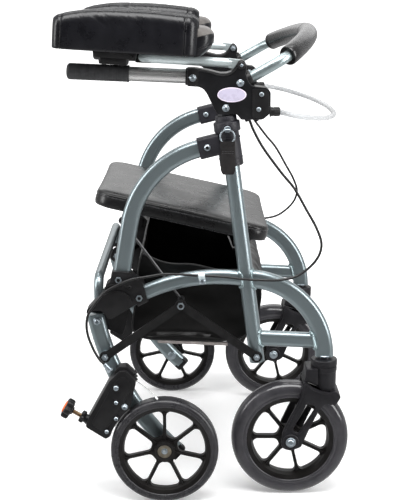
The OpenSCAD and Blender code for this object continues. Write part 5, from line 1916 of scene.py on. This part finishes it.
# dark on the -Y side, bright overhead, to both ends and behind the object
ry = wn.new("ShaderNodeValToRGB")
ry.color_ramp.elements[0].position = 0.0
ry.color_ramp.elements[0].color = (0.05, 0.05, 0.053, 1)
e = ry.color_ramp.elements.new(0.30)
e.color = (0.13, 0.133, 0.137, 1)
e = ry.color_ramp.elements.new(0.5)
e.color = (0.62, 0.63, 0.64, 1)
ry.color_ramp.elements[-1].position = 1.0
ry.color_ramp.elements[-1].color = (0.95, 0.95, 0.95, 1)
my = wn.new("ShaderNodeMapRange")
my.inputs["From Min"].default_value = -1.0
my.inputs["From Max"].default_value = 1.0
wl.new(sep.outputs["Y"], my.inputs["Value"])
wl.new(my.outputs["Result"], ry.inputs["Fac"])
rz = wn.new("ShaderNodeMapRange")
rz.inputs["From Min"].default_value = 0.35
rz.inputs["From Max"].default_value = 0.85
wl.new(sep.outputs["Z"], rz.inputs["Value"])
mx = wn.new("ShaderNodeMix")
mx.data_type = "RGBA"
mx.blend_type = "MIX"
wl.new(rz.outputs["Result"], mx.inputs["Factor"])
for s in mx.inputs:
    if s.type == "RGBA" and s.name == "A":
        wl.new(ry.outputs["Color"], s)
    if s.type == "RGBA" and s.name == "B":
        s.default_value = (0.85, 0.85, 0.85, 1)
# below the object the world stands for the pale floor
rd = wn.new("ShaderNodeMapRange")
rd.inputs["From Min"].default_value = -0.14
rd.inputs["From Max"].default_value = -0.85
wl.new(sep.outputs["Z"], rd.inputs["Value"])
md = wn.new("ShaderNodeMix")
md.data_type = "RGBA"
md.blend_type = "MIX"
wl.new(rd.outputs["Result"], md.inputs["Factor"])
for s in md.inputs:
    if s.type == "RGBA" and s.name == "A":
        wl.new([o for o in mx.outputs if o.type == "RGBA"][0], s)
    if s.type == "RGBA" and s.name == "B":
        s.default_value = (1.2, 1.2, 1.2, 1)
wl.new([o for o in md.outputs if o.type == "RGBA"][0], bg.inputs["Color"])
bg.inputs["Strength"].default_value = 0.62


def area(name, loc, target, size, energy, color=(1, 1, 1)):
    l = bpy.data.lights.new(name, "AREA")
    l.shape = "RECTANGLE"
    l.size, l.size_y = size
    l.energy = energy
    l.color = color
    o = bpy.data.objects.new(name, l)
    SC.collection.objects.link(o)
    o.location = loc
    o.rotation_euler = (Vector(target) - Vector(loc)).to_track_quat("-Z", "Y").to_euler()
    return o


area("front_top", (-0.1, -1.15, 3.0), (0, -0.25, 0.7), (2.6, 1.3), 84)
area("top_box", (0.0, 0.9, 3.0), (0, 0, 0.4), (2.4, 0.6), 18)
area("left_strip", (-2.3, -0.75, 1.4), (0, -0.1, 0.5), (0.8, 2.2), 34)
area("right_strip", (2.15, -1.25, 1.2), (0, -0.1, 0.5), (0.8, 2.2), 40)
area("back_wash", (0.3, 2.8, 1.9), (0, 0, 0.5), (3.0, 1.6), 14)

SC.view_settings.view_transform = "Standard"
SC.view_settings.look = "None"
SC.view_settings.exposure = 0.0
SC.view_settings.gamma = 1.0

cam_d = bpy.data.cameras.new("camera")
cam_d.lens = 86.472
cam_d.sensor_width = 36.0
cam_d.sensor_fit = "AUTO"
cam_d.clip_start = 0.05
cam_d.clip_end = 500
cam = bpy.data.objects.new("camera", cam_d)
SC.collection.objects.link(cam)
cam.location = (-0.0098, -2.4064, 0.9518)
cam.rotation_euler = (rad(77.2934), 0, 0)
SC.camera = cam
